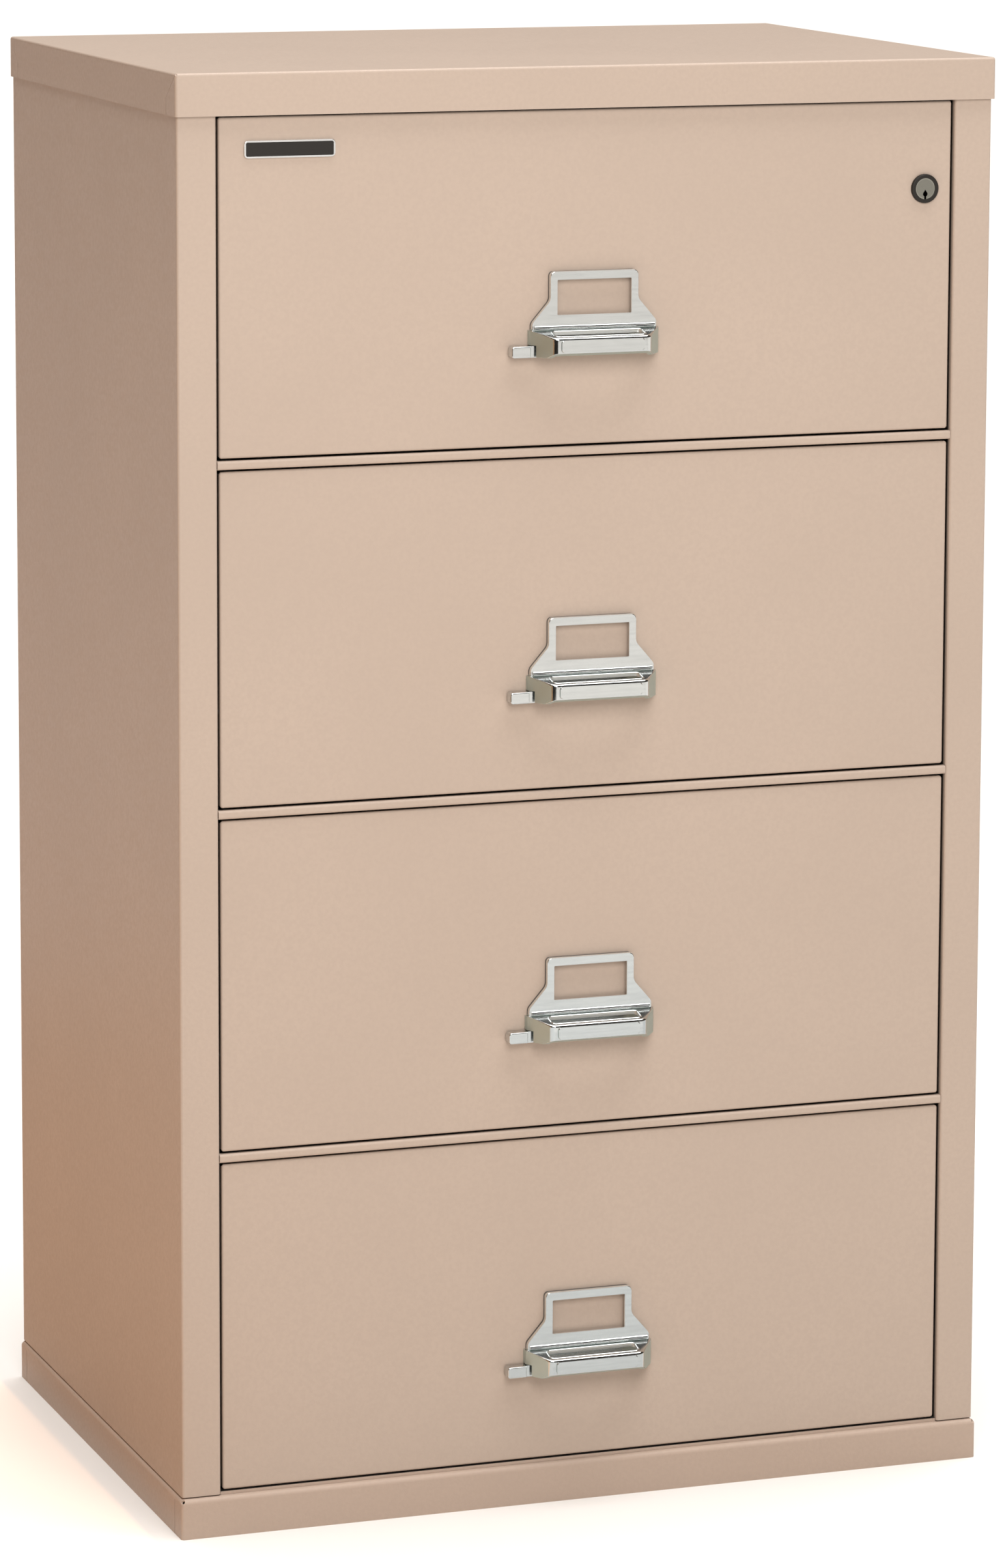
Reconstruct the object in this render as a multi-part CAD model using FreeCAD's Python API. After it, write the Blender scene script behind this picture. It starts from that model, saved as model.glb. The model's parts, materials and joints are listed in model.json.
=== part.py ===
"""Four-drawer fire-resistant lateral file, built as separate sheet, cast and poured pieces.

Frame: +X to the right of someone facing the drawers, -Y towards them, +Z up.
The origin is the centre of the base's footprint, on the floor. All sizes are in millimetres.
"""
import FreeCAD, Part
import math
import os

V = FreeCAD.Vector
ALONG_X = V(1, 0, 0)
ALONG_Y = V(0, 1, 0)
ALONG_Z = V(0, 0, 1)

# Allowances
OVER = 1.0  # how far a cutting tool runs past a face
HAIR = 0.1  # gap between pieces that lie against each other
SLACK = 0.2  # gap between a sheet and what it encloses
FREE = 0.3  # gap beside something that passes by

# Outer box
WIDTH = 792.0
DEPTH = 562.0
HEIGHT = 1340.0
HALF_WIDTH = WIDTH / 2
HALF_DEPTH = DEPTH / 2
CAP_HEIGHT = 38.5
BASE_HEIGHT = 37.5
CAP_BOTTOM = HEIGHT - CAP_HEIGHT

# Sheet thicknesses
CAP_SHEET = 1.5
PANEL_SHEET = 1.2
LINER_SHEET = 0.8
HEAD_SHEET = 1.0
SLIDE_SHEET = 1.4

# Corners of the cap and the base
SHELL_CORNER = 3.0
CAP_ROUND = 2.5
CAP_INNER_ROUND = 1.0
BASE_ROUND = 4.5
BASE_LIP = 30.0
SEAM_HALF_WIDTH = 0.5
SEAM_BEND = 0.4
CAP_TAB = 29.0
CAP_RELIEF = 1.6
CAP_RELIEF_INSET = 0.6
BASE_TAB = 22.0
BASE_SEAM_TOP = BASE_HEIGHT - 5.0
BASE_RELIEF = 2.0
BASE_RELIEF_INSET = 1.8

# Body shell, set in from the cap and the base
BODY_HALF_WIDTH = 394.0
BODY_FRONT = -277.0
BODY_BACK = 279.0
BODY_BOTTOM = 38.7
BODY_TOP = HEIGHT - CAP_SHEET - FREE
STILE_INNER = 357.2
STILE_RETURN = 25.0
REAR_RETURN = 20.0
PANEL_BEND = 2.5
BACK_HALF_WIDTH = BODY_HALF_WIDTH - 4.0
BACK_CORNER = 4.0

# Drawer faces
DRAWERS = (1, 2, 3, 4)
FACE_HEIGHT = 305.5
FACE_PITCH = 317.6
LOWEST_FACE = 42.0
FACE_FRONT = -274.5
FACE_HALF_WIDTH = 354.5
FACE_DEPTH = 22.5
FACE_BACK = FACE_FRONT + FACE_DEPTH
FACE_CORNER = 2.4
FACE_BEND = 2.0
FACE_RELIEF = 1.2
GAP_HEIGHT = FACE_PITCH - FACE_HEIGHT
RAIL_HEIGHT = 8.0
RAIL_FRONT = BODY_FRONT + 0.4
RAIL_BEND = 2.4

# Drawer head behind the face
HEAD_BACK = -214.0
HEAD_HALF_WIDTH = 350.0
HEAD_STEP = 18.0
CORE_GAP = 0.6
CORE_CORNER = 3.0

# Compartments and the poured walls
MOUTH = -248.0
LINER_BACK = 242.0
COMPARTMENT_STEP = 15.0
INSULATION_INNER = 358.5
INSULATION_BACK = 276.0
TONGUE_TOP = CAP_BOTTOM + 1.5
TONGUE_BOTTOM = BODY_BOTTOM + 2.0
BOLT_POCKET_RADIUS = 6.0
BOLT_POCKET_DEPTH = 14.0

# Slides: each member has a web at one X and flanges that reach to another
SLIDE_FRONT = -212.0
SLIDE_LENGTH = 430.0
SLIDE_HEIGHT_ON_FACE = 68.0
SLIDE_BEND = 2.0
CHANNEL_LIP = 347.0
CHANNEL_TALL = 46.0
MID_WEB = 354.6
MID_LIP = 345.6
MID_TALL = 40.0
INNER_LIP = 352.2
INNER_TALL = 34.0

# Tray and its hanging rails
TRAY_HALF_WIDTH = 342.0
TRAY_FLOOR = 19.0
TRAY_SIDE = 234.0
TRAY_BACK = 215.0
TRAY_BEND = 2.5
HANGER_Y = 193.0
HANGER_THICK = 3.0
HANGER_TALL = 16.0
HANGER_RISE = 3.0
HANGER_TAB_HALF = 9.0
HANGER_TAB_TALL = 41.0
HANGER_TAB_DROP = 4.0

# Handle, heights measured from the lower edge of the drawer face
PLATE_TOP = 159.0
PLATE_HALF_WIDTH = 42.5
PLATE_PROUD = 7.0
PLATE_CORNER = 4.0
PLATE_EDGE = 1.8
WINDOW_LOW = 119.5
WINDOW_HIGH = 151.6
WINDOW_HALF_WIDTH = 35.9
WINDOW_CORNER = 0.8
RIDGE = 109.6
SHOULDER_HALF_WIDTH = 60.2
SHOULDER_TURN = math.radians(41.0)
SHOULDER_HOLLOW = 10.0
SHOULDER_CROWN = 7.4
SHOULDER_RISE = 27.0
SHOULDER_LAP = 2.0
BEAD_RADIUS = 2.0
BEAD_DROP = 1.2
BEAD_SINK = 0.2
GRIP_LOW = 82.2
GRIP_WALL_TOP = 106.2
GRIP_FRONT_TOP = 100.7
GRIP_HALF_WIDTH = 62.3
GRIP_CORNER = 4.0
GRIP_EDGE = 1.4
BAR_HALF_WIDTH = 45.8
BAR_PROUD = 30.0
BAR_THICK = 4.5
BAR_CHAMFER_RUN = 8.0
BAR_CHAMFER_RISE = 4.5
BACKPLATE = 3.0
WALL_THICK = 3.5
HOLLOW_TAPER = 0.6
SLOT_HALF_WIDTH = 43.5
SLOT_BACK = 11.0
SLOT_FRONT = 25.0
SLOT_CORNER = 4.0
SLOT_EDGE = 1.2
PAD_HALF_WIDTH = 40.0
PAD_PROUD = 1.2
PAD_CORNER = 2.0
PAD_BEVEL = 0.9
PAD_LOW = GRIP_LOW + BAR_CHAMFER_RISE + 1.0
PAD_HIGH = GRIP_FRONT_TOP - 1.8
HANDLE_FRONT = FACE_FRONT - BAR_PROUD
PLATE_FRONT = FACE_FRONT - PLATE_PROUD

# Thumb latch
LATCH_TRAVEL = 9.0
TAB_LEFT = -81.4
TAB_RIGHT = -63.0
TAIL_RIGHT = -50.0
TAIL_SET_BACK = 2.6
SHANK_LEFT = -56.0
SHANK_HALF = 3.0
TAB_LOW = 81.8
TAB_HIGH = 92.4
TAB_PROUD = 12.0
TAB_GAP = 1.5
TAB_CORNER = 2.5
TAB_EDGE = 1.0
NOTCH_REACH = 9.0
ROD_HEIGHT = 87.2
ROD_Y = -262.0
ROD_RADIUS = 3.0
ROD_CHAMFER = 0.8
ROD_END = -356.5
ROD_CHANNEL = 4.5
ROD_CHANNEL_END = -36.0
STRIKE_RADIUS = ROD_RADIUS + 1.5

# Lock on the top drawer
LOCK_X = 328.0
LOCK_HEIGHT = 224.7
BEZEL_RADIUS = 13.5
BEZEL_PROUD = 3.2
BEZEL_EDGE = 1.4
BARREL_RADIUS = 11.0
PLUG_RADIUS = 9.7
PLUG_CLEARANCE = 0.05
PLUG_SINK = 0.8
KEYWAY_APEX = 0.9
KEYWAY_BULB = 5.0
KEYWAY_RADIUS = 2.3
KEYWAY_SLOT = 1.0
KEYWAY_DEPTH = 12.0
NUT_RADIUS = 14.5
NUT_HALF_FLATS = 12.4
NUT_THICK = 4.9
NUT_HOLE = 18.0
CAM_LENGTH = 20.0
CAM_HALF_WIDTH = 5.0
CAM_CORNER = 4.0
CAM_THICK = 2.5
CAM_Y = -206.0

# Lock bar in the right wall
BAR_X = 361.0
BAR_WIDE = 4.0
BAR_Y0 = -244.0
BAR_Y1 = -230.0
BAR_FOOT = 34.0
BAR_HEAD = 270.0
LUG_LOW = 200.0
LUG_TALL = 12.0
LUG_TIP = 344.5
LUG_TRAVEL = 10.0
LUG_INSET = 3.0
LUG_ROOM = 2.0
LUG_POCKET_X = 343.0

# Badge plate on the top drawer
BADGE_LEFT = -331.0
BADGE_RIGHT = -246.0
BADGE_LOW = 268.4
BADGE_TALL = 15.6
BADGE_THICK = 2.0
BADGE_CORNER = 3.0
BADGE_EDGE = 0.7


def face_low(number):
    """Height of the lower edge of a drawer face; drawer 1 is the top one."""
    return LOWEST_FACE + (len(DRAWERS) - number) * FACE_PITCH


def box(x0, x1, y0, y1, z0, z1):
    return Part.makeBox(x1 - x0, y1 - y0, z1 - z0, V(x0, y0, z0))


def rod(radius, start, end):
    along = V(*end) - V(*start)
    return Part.makeCylinder(radius, along.Length, V(*start), along)


def mirror_x(shape):
    return shape.mirror(V(0, 0, 0), ALONG_X)


def is_along(edge, axis):
    if not isinstance(edge.Curve, Part.Line):
        return False
    return abs(abs(edge.Curve.Direction.dot(axis)) - 1.0) < 1e-6


def pick(shape, axis, test):
    """Straight edges of a shape that run along an axis and whose middle passes a test."""
    chosen = []
    for edge in shape.Edges:
        if is_along(edge, axis) and test(edge.CenterOfMass):
            chosen.append(edge)
    return chosen


def round_along(shape, axis, radius, test=lambda point: True):
    return shape.makeFillet(radius, pick(shape, axis, test))


def outline_at(shape, coordinate, value, skip=lambda point: False):
    """Every edge that lies in one plane square to X, Y or Z."""
    chosen = []
    for edge in shape.Edges:
        limits = edge.BoundBox
        low = getattr(limits, coordinate + "Min")
        high = getattr(limits, coordinate + "Max")
        if abs(low - value) < 1e-3 and abs(high - value) < 1e-3 and not skip(edge.CenterOfMass):
            chosen.append(edge)
    return chosen


def edges_inside(shape, region):
    """Every edge whose bounding box lies inside a region."""
    return [edge for edge in shape.Edges if region.isInside(edge.BoundBox)]


def plate_from(points, along):
    """A straight-sided solid: a closed outline pushed along a vector."""
    corners = [V(*point) for point in points]
    return Part.Face(Part.makePolygon(corners + corners[:1])).extrude(V(*along))


def rounded_block(x0, x1, y0, y1, z0, z1, corner, edge, front=True):
    """A block with rounded corners seen from the front and a rounded edge round its front or top."""
    block = box(x0, x1, y0, y1, z0, z1)
    if front:
        block = round_along(block, ALONG_Y, corner)
        return block.makeFillet(edge, outline_at(block, "Y", y0))
    block = round_along(block, ALONG_Z, corner)
    return block.makeFillet(edge, outline_at(block, "Z", z1))


# ---- Cabinet shell ----

def cap_seams(cap):
    """Grooves and relief holes where the cap's front and back flanges wrap on to its sides."""
    bend = CAP_BOTTOM + SEAM_BEND * CAP_HEIGHT
    groove = SEAM_HALF_WIDTH
    top = HEIGHT - OVER
    for side in (-1, 1):
        x = side * HALF_WIDTH
        for end in (-1, 1):
            y = end * HALF_DEPTH
            inner = y - end * CAP_TAB
            slant = plate_from([(x - groove, y, top), (x - groove, y - end * 2 * groove, top),
                                (x - groove, inner - end * groove, bend), (x - groove, inner, bend)],
                               (2 * groove, 0, 0))
            upright = box(x - groove, x + groove, inner - groove, inner + groove, CAP_BOTTOM - OVER, bend)
            relief_at = V(x - side * CAP_RELIEF_INSET, y - end * CAP_RELIEF_INSET, HEIGHT - CAP_RELIEF_INSET)
            cap = cap.cut(slant).cut(upright).cut(Part.makeSphere(CAP_RELIEF, relief_at))
    return cap


def make_top_cap():
    t = CAP_SHEET
    outer = rounded_block(-HALF_WIDTH, HALF_WIDTH, -HALF_DEPTH, HALF_DEPTH,
                          CAP_BOTTOM, HEIGHT, SHELL_CORNER, CAP_ROUND, front=False)
    inner = rounded_block(-HALF_WIDTH + t, HALF_WIDTH - t, -HALF_DEPTH + t, HALF_DEPTH - t,
                          CAP_BOTTOM - t, HEIGHT - t, SHELL_CORNER - t, CAP_INNER_ROUND, front=False)
    return cap_seams(outer.cut(inner))


def make_base_plinth():
    """Folded plinth: a top skin, four upright sides and a lip turned in along the floor."""
    t = CAP_SHEET
    lip = BASE_LIP
    outer = rounded_block(-HALF_WIDTH, HALF_WIDTH, -HALF_DEPTH, HALF_DEPTH,
                          0, BASE_HEIGHT, SHELL_CORNER, BASE_ROUND, front=False)
    inner = rounded_block(-HALF_WIDTH + t, HALF_WIDTH - t, -HALF_DEPTH + t, HALF_DEPTH - t,
                          t, BASE_HEIGHT - t, SHELL_CORNER - t, BASE_ROUND - t, front=False)
    well = box(-HALF_WIDTH + lip, HALF_WIDTH - lip, -HALF_DEPTH + lip, HALF_DEPTH - lip, -OVER, t + OVER)
    plinth = outer.cut(inner).cut(well)
    groove = SEAM_HALF_WIDTH
    for side in (-1, 1):
        for end in (-1, 1):
            x = side * HALF_WIDTH
            y = end * HALF_DEPTH
            seam_y = y - end * BASE_TAB
            seam = box(x - groove, x + groove, seam_y - groove, seam_y + groove, -OVER, BASE_SEAM_TOP)
            relief_at = V(x - side * BASE_RELIEF_INSET, y - end * BASE_RELIEF_INSET,
                          BASE_HEIGHT - BASE_RELIEF_INSET)
            plinth = plinth.cut(seam).cut(Part.makeSphere(BASE_RELIEF, relief_at))
    return plinth


def make_right_side_panel():
    """Outer skin, front stile with its inner return, and a short return at the back."""
    t = PANEL_SHEET
    x_out = BODY_HALF_WIDTH
    block = box(STILE_INNER, x_out, BODY_FRONT, BODY_BACK, BODY_BOTTOM, BODY_TOP)
    block = round_along(block, ALONG_Z, PANEL_BEND, lambda p: p.y < 0 or p.x > x_out - OVER)
    hollow = box(STILE_INNER + t, x_out - t, BODY_FRONT + t, BODY_BACK - t,
                 BODY_BOTTOM - OVER, BODY_TOP + OVER)
    hollow = round_along(hollow, ALONG_Z, PANEL_BEND - t)
    open_side = box(STILE_INNER - OVER, STILE_INNER + t + OVER, BODY_FRONT + STILE_RETURN, BODY_BACK + OVER,
                    BODY_BOTTOM - OVER, BODY_TOP + OVER)
    open_back = box(STILE_INNER - OVER, x_out - REAR_RETURN, BODY_BACK - t - OVER, BODY_BACK + OVER,
                    BODY_BOTTOM - OVER, BODY_TOP + OVER)
    return block.cut(hollow).cut(open_side).cut(open_back)


def make_left_side_panel():
    """The mirror of the right panel, with a strike hole for each drawer's latch bolt."""
    panel = mirror_x(make_right_side_panel())
    for number in DRAWERS:
        z = face_low(number) + ROD_HEIGHT
        inner_x = -STILE_INNER + OVER
        outer_x = inner_x - PANEL_SHEET - 2 * OVER
        panel = panel.cut(rod(STRIKE_RADIUS, (outer_x, ROD_Y, z), (inner_x, ROD_Y, z)))
    return panel


def make_back_panel():
    y = BODY_BACK - PANEL_SHEET - SLACK
    sheet = box(-BACK_HALF_WIDTH, BACK_HALF_WIDTH, y - PANEL_SHEET, y, BODY_BOTTOM, BODY_TOP)
    return round_along(sheet, ALONG_Y, BACK_CORNER)


# ---- Poured insulation and compartment liners ----

def compartment_limits(number):
    low = face_low(number) + COMPARTMENT_STEP
    high = face_low(number) + FACE_HEIGHT - COMPARTMENT_STEP
    return low, high


def stepped_slab(front_low, front_high, back_low, back_high):
    """A slab with a thin tongue between the drawer faces and a thick part behind them."""
    half = STILE_INNER - FREE
    step_y = MOUTH + CORE_GAP
    tongue = box(-half, half, BODY_FRONT + 2 * PANEL_SHEET, step_y, front_low, front_high)
    half = INSULATION_INNER - HAIR
    body = box(-half, half, step_y, LINER_BACK + CORE_GAP, back_low, back_high)
    return tongue.fuse(body).removeSplitter()


def make_divider(number):
    """Between drawer `number` and the one below it."""
    below = compartment_limits(number + 1)[1] + LINER_SHEET
    above = compartment_limits(number)[0] - LINER_SHEET
    middle = face_low(number) - GAP_HEIGHT / 2
    half = RAIL_HEIGHT / 2 - PANEL_SHEET - HAIR
    return stepped_slab(middle - half, middle + half, below, above)


def make_top_insulation():
    low = compartment_limits(1)[1] + LINER_SHEET
    return stepped_slab(TONGUE_TOP, BODY_TOP, low, BODY_TOP)


def make_floor_insulation():
    """Below the lowest compartment; its tongue closes the gap above the base."""
    high = compartment_limits(len(DRAWERS))[0] - LINER_SHEET
    return stepped_slab(BASE_HEIGHT + HAIR, TONGUE_BOTTOM, BODY_BOTTOM, high)


def make_wall_insulation():
    """Left, back and right walls poured in one piece, with room for the bolts and the lock bar."""
    outer = BODY_HALF_WIDTH - PANEL_SHEET - SLACK
    front = BODY_FRONT + PANEL_SHEET + SLACK
    walls = box(-outer, outer, front, INSULATION_BACK, BODY_BOTTOM, BODY_TOP)
    inside = box(-INSULATION_INNER, INSULATION_INNER, front - OVER, LINER_BACK + 2 * FREE,
                 BODY_BOTTOM - OVER, BODY_TOP + OVER)
    walls = round_along(walls.cut(inside), ALONG_Z, PANEL_BEND, lambda p: p.y < MOUTH)
    channel = box(INSULATION_INNER - OVER, BAR_X + BAR_WIDE + LUG_ROOM, BAR_Y0 - LUG_ROOM, BAR_Y1 + LUG_ROOM,
                  face_low(4) + TRAY_FLOOR, face_low(1) + FACE_HEIGHT)
    walls = walls.cut(channel)
    for number in DRAWERS:
        z = face_low(number) + ROD_HEIGHT
        start = (-INSULATION_INNER - BOLT_POCKET_DEPTH, ROD_Y, z)
        walls = walls.cut(rod(BOLT_POCKET_RADIUS, start, (-INSULATION_INNER + OVER, ROD_Y, z)))
    return walls


def lug_span(number):
    """Lowest and highest point that a drawer's lock lug needs, at rest and lifted."""
    low = face_low(number) + LUG_LOW
    return low - LUG_ROOM, low + LUG_TALL + LUG_TRAVEL + LUG_ROOM


def make_liner(number):
    """Five-sided sheet box that lines one compartment, with a window for the lock bar's lug."""
    low, high = compartment_limits(number)
    t = LINER_SHEET
    half = STILE_INNER
    outer = box(-half - t, half + t, MOUTH, LINER_BACK, low - t, high + t)
    inner = box(-half, half, MOUTH - OVER, LINER_BACK - t, low, high)
    window = box(half - OVER, half + t + OVER, BAR_Y0 + OVER, BAR_Y1 - OVER, *lug_span(number))
    return outer.cut(inner).cut(window)


def make_rail(number):
    """Folded nose strip that closes the gap below drawer `number`."""
    middle = face_low(number) - GAP_HEIGHT / 2
    half = STILE_INNER - FREE
    t = PANEL_SHEET
    low = middle - RAIL_HEIGHT / 2
    high = middle + RAIL_HEIGHT / 2
    outer = box(-half, half, RAIL_FRONT, MOUTH - FREE, low, high)
    outer = round_along(outer, ALONG_X, RAIL_BEND, lambda p: p.y < RAIL_FRONT + OVER)
    inner = box(-half - OVER, half + OVER, RAIL_FRONT + t, MOUTH, low + t, high - t)
    inner = round_along(inner, ALONG_X, RAIL_BEND - t, lambda p: p.y < RAIL_FRONT + t + OVER)
    return outer.cut(inner)


# ---- Slides ----

def slide_members(number, x_web, x_lip, height):
    """C-shaped slide member, web at x_web and flanges out to x_lip, on both sides of the drawer."""
    middle = face_low(number) + SLIDE_HEIGHT_ON_FACE
    end = SLIDE_FRONT + SLIDE_LENGTH
    low, high = min(x_web, x_lip), max(x_web, x_lip)
    bar = box(low, high, SLIDE_FRONT, end, middle - height / 2, middle + height / 2)
    bar = round_along(bar, ALONG_Y, SLIDE_BEND, lambda p: abs(p.x - x_web) < HAIR)
    if x_web > x_lip:
        low -= OVER
        high -= SLIDE_SHEET
    else:
        low += SLIDE_SHEET
        high += OVER
    half = height / 2 - SLIDE_SHEET
    bar = bar.cut(box(low, high, SLIDE_FRONT - OVER, end + OVER, middle - half, middle + half))
    return [bar, mirror_x(bar)]


def make_cabinet_channels():
    members = []
    for number in DRAWERS:
        members += slide_members(number, STILE_INNER - HAIR, CHANNEL_LIP, CHANNEL_TALL)
    return Part.makeCompound(members)


def make_mid_slides(number):
    return Part.makeCompound(slide_members(number, MID_WEB, MID_LIP, MID_TALL))


def make_inner_slides(number):
    return Part.makeCompound(slide_members(number, TRAY_HALF_WIDTH + HAIR, INNER_LIP, INNER_TALL))


# ---- Drawer head ----

def face_pan_volume(number, inset, back):
    low = face_low(number)
    return rounded_block(-FACE_HALF_WIDTH + inset, FACE_HALF_WIDTH - inset, FACE_FRONT + inset, back,
                         low + inset, low + FACE_HEIGHT - inset, FACE_CORNER - inset, FACE_BEND - inset)


def shank_slot(number, depth_from, depth_to):
    """Slot that the latch's shank slides along."""
    middle = face_low(number) + ROD_HEIGHT
    half = SHANK_HALF + 2 * FREE
    return box(SHANK_LEFT - 2 * FREE, TAIL_RIGHT + LATCH_TRAVEL + 2 * FREE, depth_from, depth_to,
               middle - half, middle + half)


def lock_bore(radius, y0, y1):
    z = face_low(1) + LOCK_HEIGHT
    return rod(radius, (LOCK_X, y0, z), (LOCK_X, y1, z))


def make_face(number):
    """Painted front pan with its turned-back flanges."""
    pan = face_pan_volume(number, 0, FACE_BACK)
    pan = pan.cut(face_pan_volume(number, PANEL_SHEET, FACE_BACK + OVER))
    low = face_low(number)
    for x in (-FACE_HALF_WIDTH + FACE_RELIEF, FACE_HALF_WIDTH - FACE_RELIEF):
        for z in (low + FACE_RELIEF, low + FACE_HEIGHT - FACE_RELIEF):
            pan = pan.cut(rod(FACE_RELIEF, (x, FACE_FRONT + FACE_BEND, z), (x, FACE_BACK + OVER, z)))
    z = low + ROD_HEIGHT
    bolt_hole_end = -FACE_HALF_WIDTH + PANEL_SHEET + OVER
    pan = pan.cut(rod(ROD_RADIUS + FREE, (-FACE_HALF_WIDTH - OVER, ROD_Y, z), (bolt_hole_end, ROD_Y, z)))
    inside = FACE_FRONT + PANEL_SHEET + OVER
    pan = pan.cut(shank_slot(number, FACE_FRONT - OVER, inside))
    if number == 1:
        pan = pan.cut(lock_bore(BARREL_RADIUS + SLACK, FACE_FRONT - OVER, inside))
    return pan


def lug_pocket(number):
    """L-shaped recess in the head's right side that the lock bar's lug slides along and lifts into."""
    low, high = lug_span(number)
    right = HEAD_HALF_WIDTH + OVER
    along = box(LUG_POCKET_X, right, BAR_Y0 + OVER, HEAD_BACK + OVER, low, high - LUG_TRAVEL)
    lift = box(LUG_POCKET_X, right, BAR_Y0 + OVER, BAR_Y1 - OVER, low, high)
    return along.fuse(lift)


def make_core(number):
    """Stepped insulation block that fills the front pan and the head's rear pan."""
    low = face_low(number)
    inset = PANEL_SHEET + CORE_GAP
    front = box(-FACE_HALF_WIDTH + inset, FACE_HALF_WIDTH - inset, FACE_FRONT + inset,
                FACE_BACK, low + inset, low + FACE_HEIGHT - inset)
    front = round_along(front, ALONG_Y, CORE_CORNER)
    half = HEAD_HALF_WIDTH - inset
    rear = box(-half, half, FACE_BACK, HEAD_BACK - inset,
               low + HEAD_STEP + inset, low + FACE_HEIGHT - HEAD_STEP - inset)
    middle = low + ROD_HEIGHT
    channel = box(-FACE_HALF_WIDTH, ROD_CHANNEL_END, FACE_FRONT, ROD_Y + ROD_CHANNEL,
                  middle - ROD_CHANNEL, middle + ROD_CHANNEL)
    core = front.fuse(rear).cut(channel).cut(lug_pocket(number))
    if number == 1:
        core = core.cut(lock_bore(BARREL_RADIUS + FREE, FACE_FRONT - OVER, HEAD_BACK + OVER))
    return core


def make_head_liner(number):
    """Rear pan of the head: four sides and a back, open towards the front pan."""
    low = face_low(number) + HEAD_STEP
    high = face_low(number) + FACE_HEIGHT - HEAD_STEP
    t = HEAD_SHEET
    front = FACE_BACK + SLACK
    half = HEAD_HALF_WIDTH
    outer = box(-half, half, front, HEAD_BACK, low, high)
    inner = box(-half + t, half - t, front - OVER, HEAD_BACK - t, low + t, high - t)
    pan = outer.cut(inner).cut(lug_pocket(number))
    if number == 1:
        pan = pan.cut(lock_bore(BARREL_RADIUS + SLACK, HEAD_BACK - t - OVER, HEAD_BACK + OVER))
    return pan


def make_tray(number):
    """Folded file tray behind the head; the top one has openings for the lock's nut and cam."""
    low = face_low(number) + TRAY_FLOOR
    t = PANEL_SHEET
    half = TRAY_HALF_WIDTH
    front = HEAD_BACK + HAIR
    outer = box(-half, half, front, TRAY_BACK, low, low + TRAY_SIDE)
    outer = round_along(outer, ALONG_Y, TRAY_BEND, lambda p: p.z < low + OVER)
    inner = box(-half + t, half - t, front + t, TRAY_BACK - t, low + t, low + TRAY_SIDE + OVER)
    tray = outer.cut(inner)
    if number == 1:
        z = face_low(1) + LOCK_HEIGHT
        cam_window = box(half - t - OVER, half + OVER, CAM_Y - LUG_ROOM, CAM_Y + CAM_THICK + LUG_ROOM,
                         z - CAM_LENGTH, z + CAM_HALF_WIDTH + LUG_ROOM)
        tray = tray.cut(lock_bore(NUT_HOLE, front - OVER, front + t + OVER)).cut(cam_window)
    return tray


def make_hanging_rails(number):
    """Two flat bars from side to side, each with its ends bent down against the tray."""
    top = face_low(number) + TRAY_FLOOR + TRAY_SIDE + HANGER_RISE
    half = TRAY_HALF_WIDTH - PANEL_SHEET - SLACK
    thick = HANGER_THICK
    rails = []
    for y in (-HANGER_Y, HANGER_Y):
        bar = box(-half, half, y - thick / 2, y + thick / 2, top - HANGER_TALL, top)
        high = top - HANGER_TAB_DROP
        tab = box(half - thick, half, y - HANGER_TAB_HALF, y + HANGER_TAB_HALF, high - HANGER_TAB_TALL, high)
        rails.append(bar.fuse(tab).fuse(mirror_x(tab)).removeSplitter())
    return Part.makeCompound(rails)


# ---- Handle ----

def plate_outline(low):
    """Half of the card plate's outline, from the ridge up to the top middle, as edges in order."""
    turn = SHOULDER_TURN
    y = FACE_FRONT
    x_foot = SHOULDER_HALF_WIDTH
    z_foot = low + RIDGE
    crown = SHOULDER_CROWN
    hollow = SHOULDER_HOLLOW

    def at(x, z):
        return V(x, y, z)

    foot = at(x_foot, z_foot)
    crown_mid = at(x_foot - crown * (1 - math.cos(turn / 2)), z_foot + crown * math.sin(turn / 2))
    crown_end = at(x_foot - crown * (1 - math.cos(turn)), z_foot + crown * math.sin(turn))
    x_top = PLATE_HALF_WIDTH
    z_top = low + RIDGE + SHOULDER_RISE
    hollow_start = at(x_top + hollow * (1 - math.cos(turn)), z_top - hollow * math.sin(turn))
    hollow_mid = at(x_top + hollow * (1 - math.cos(turn / 2)), z_top - hollow * math.sin(turn / 2))
    hollow_end = at(x_top, z_top)
    corner = PLATE_CORNER
    z_high = low + PLATE_TOP
    side_end = at(x_top, z_high - corner)
    corner_mid = at(x_top - corner * (1 - math.sqrt(0.5)), z_high - corner * (1 - math.sqrt(0.5)))
    corner_end = at(x_top - corner, z_high)
    return [
        Part.Arc(foot, crown_mid, crown_end).toShape(),
        Part.LineSegment(crown_end, hollow_start).toShape(),
        Part.Arc(hollow_start, hollow_mid, hollow_end).toShape(),
        Part.LineSegment(hollow_end, side_end).toShape(),
        Part.Arc(side_end, corner_mid, corner_end).toShape(),
        Part.LineSegment(corner_end, at(0, z_high)).toShape(),
    ]


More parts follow.
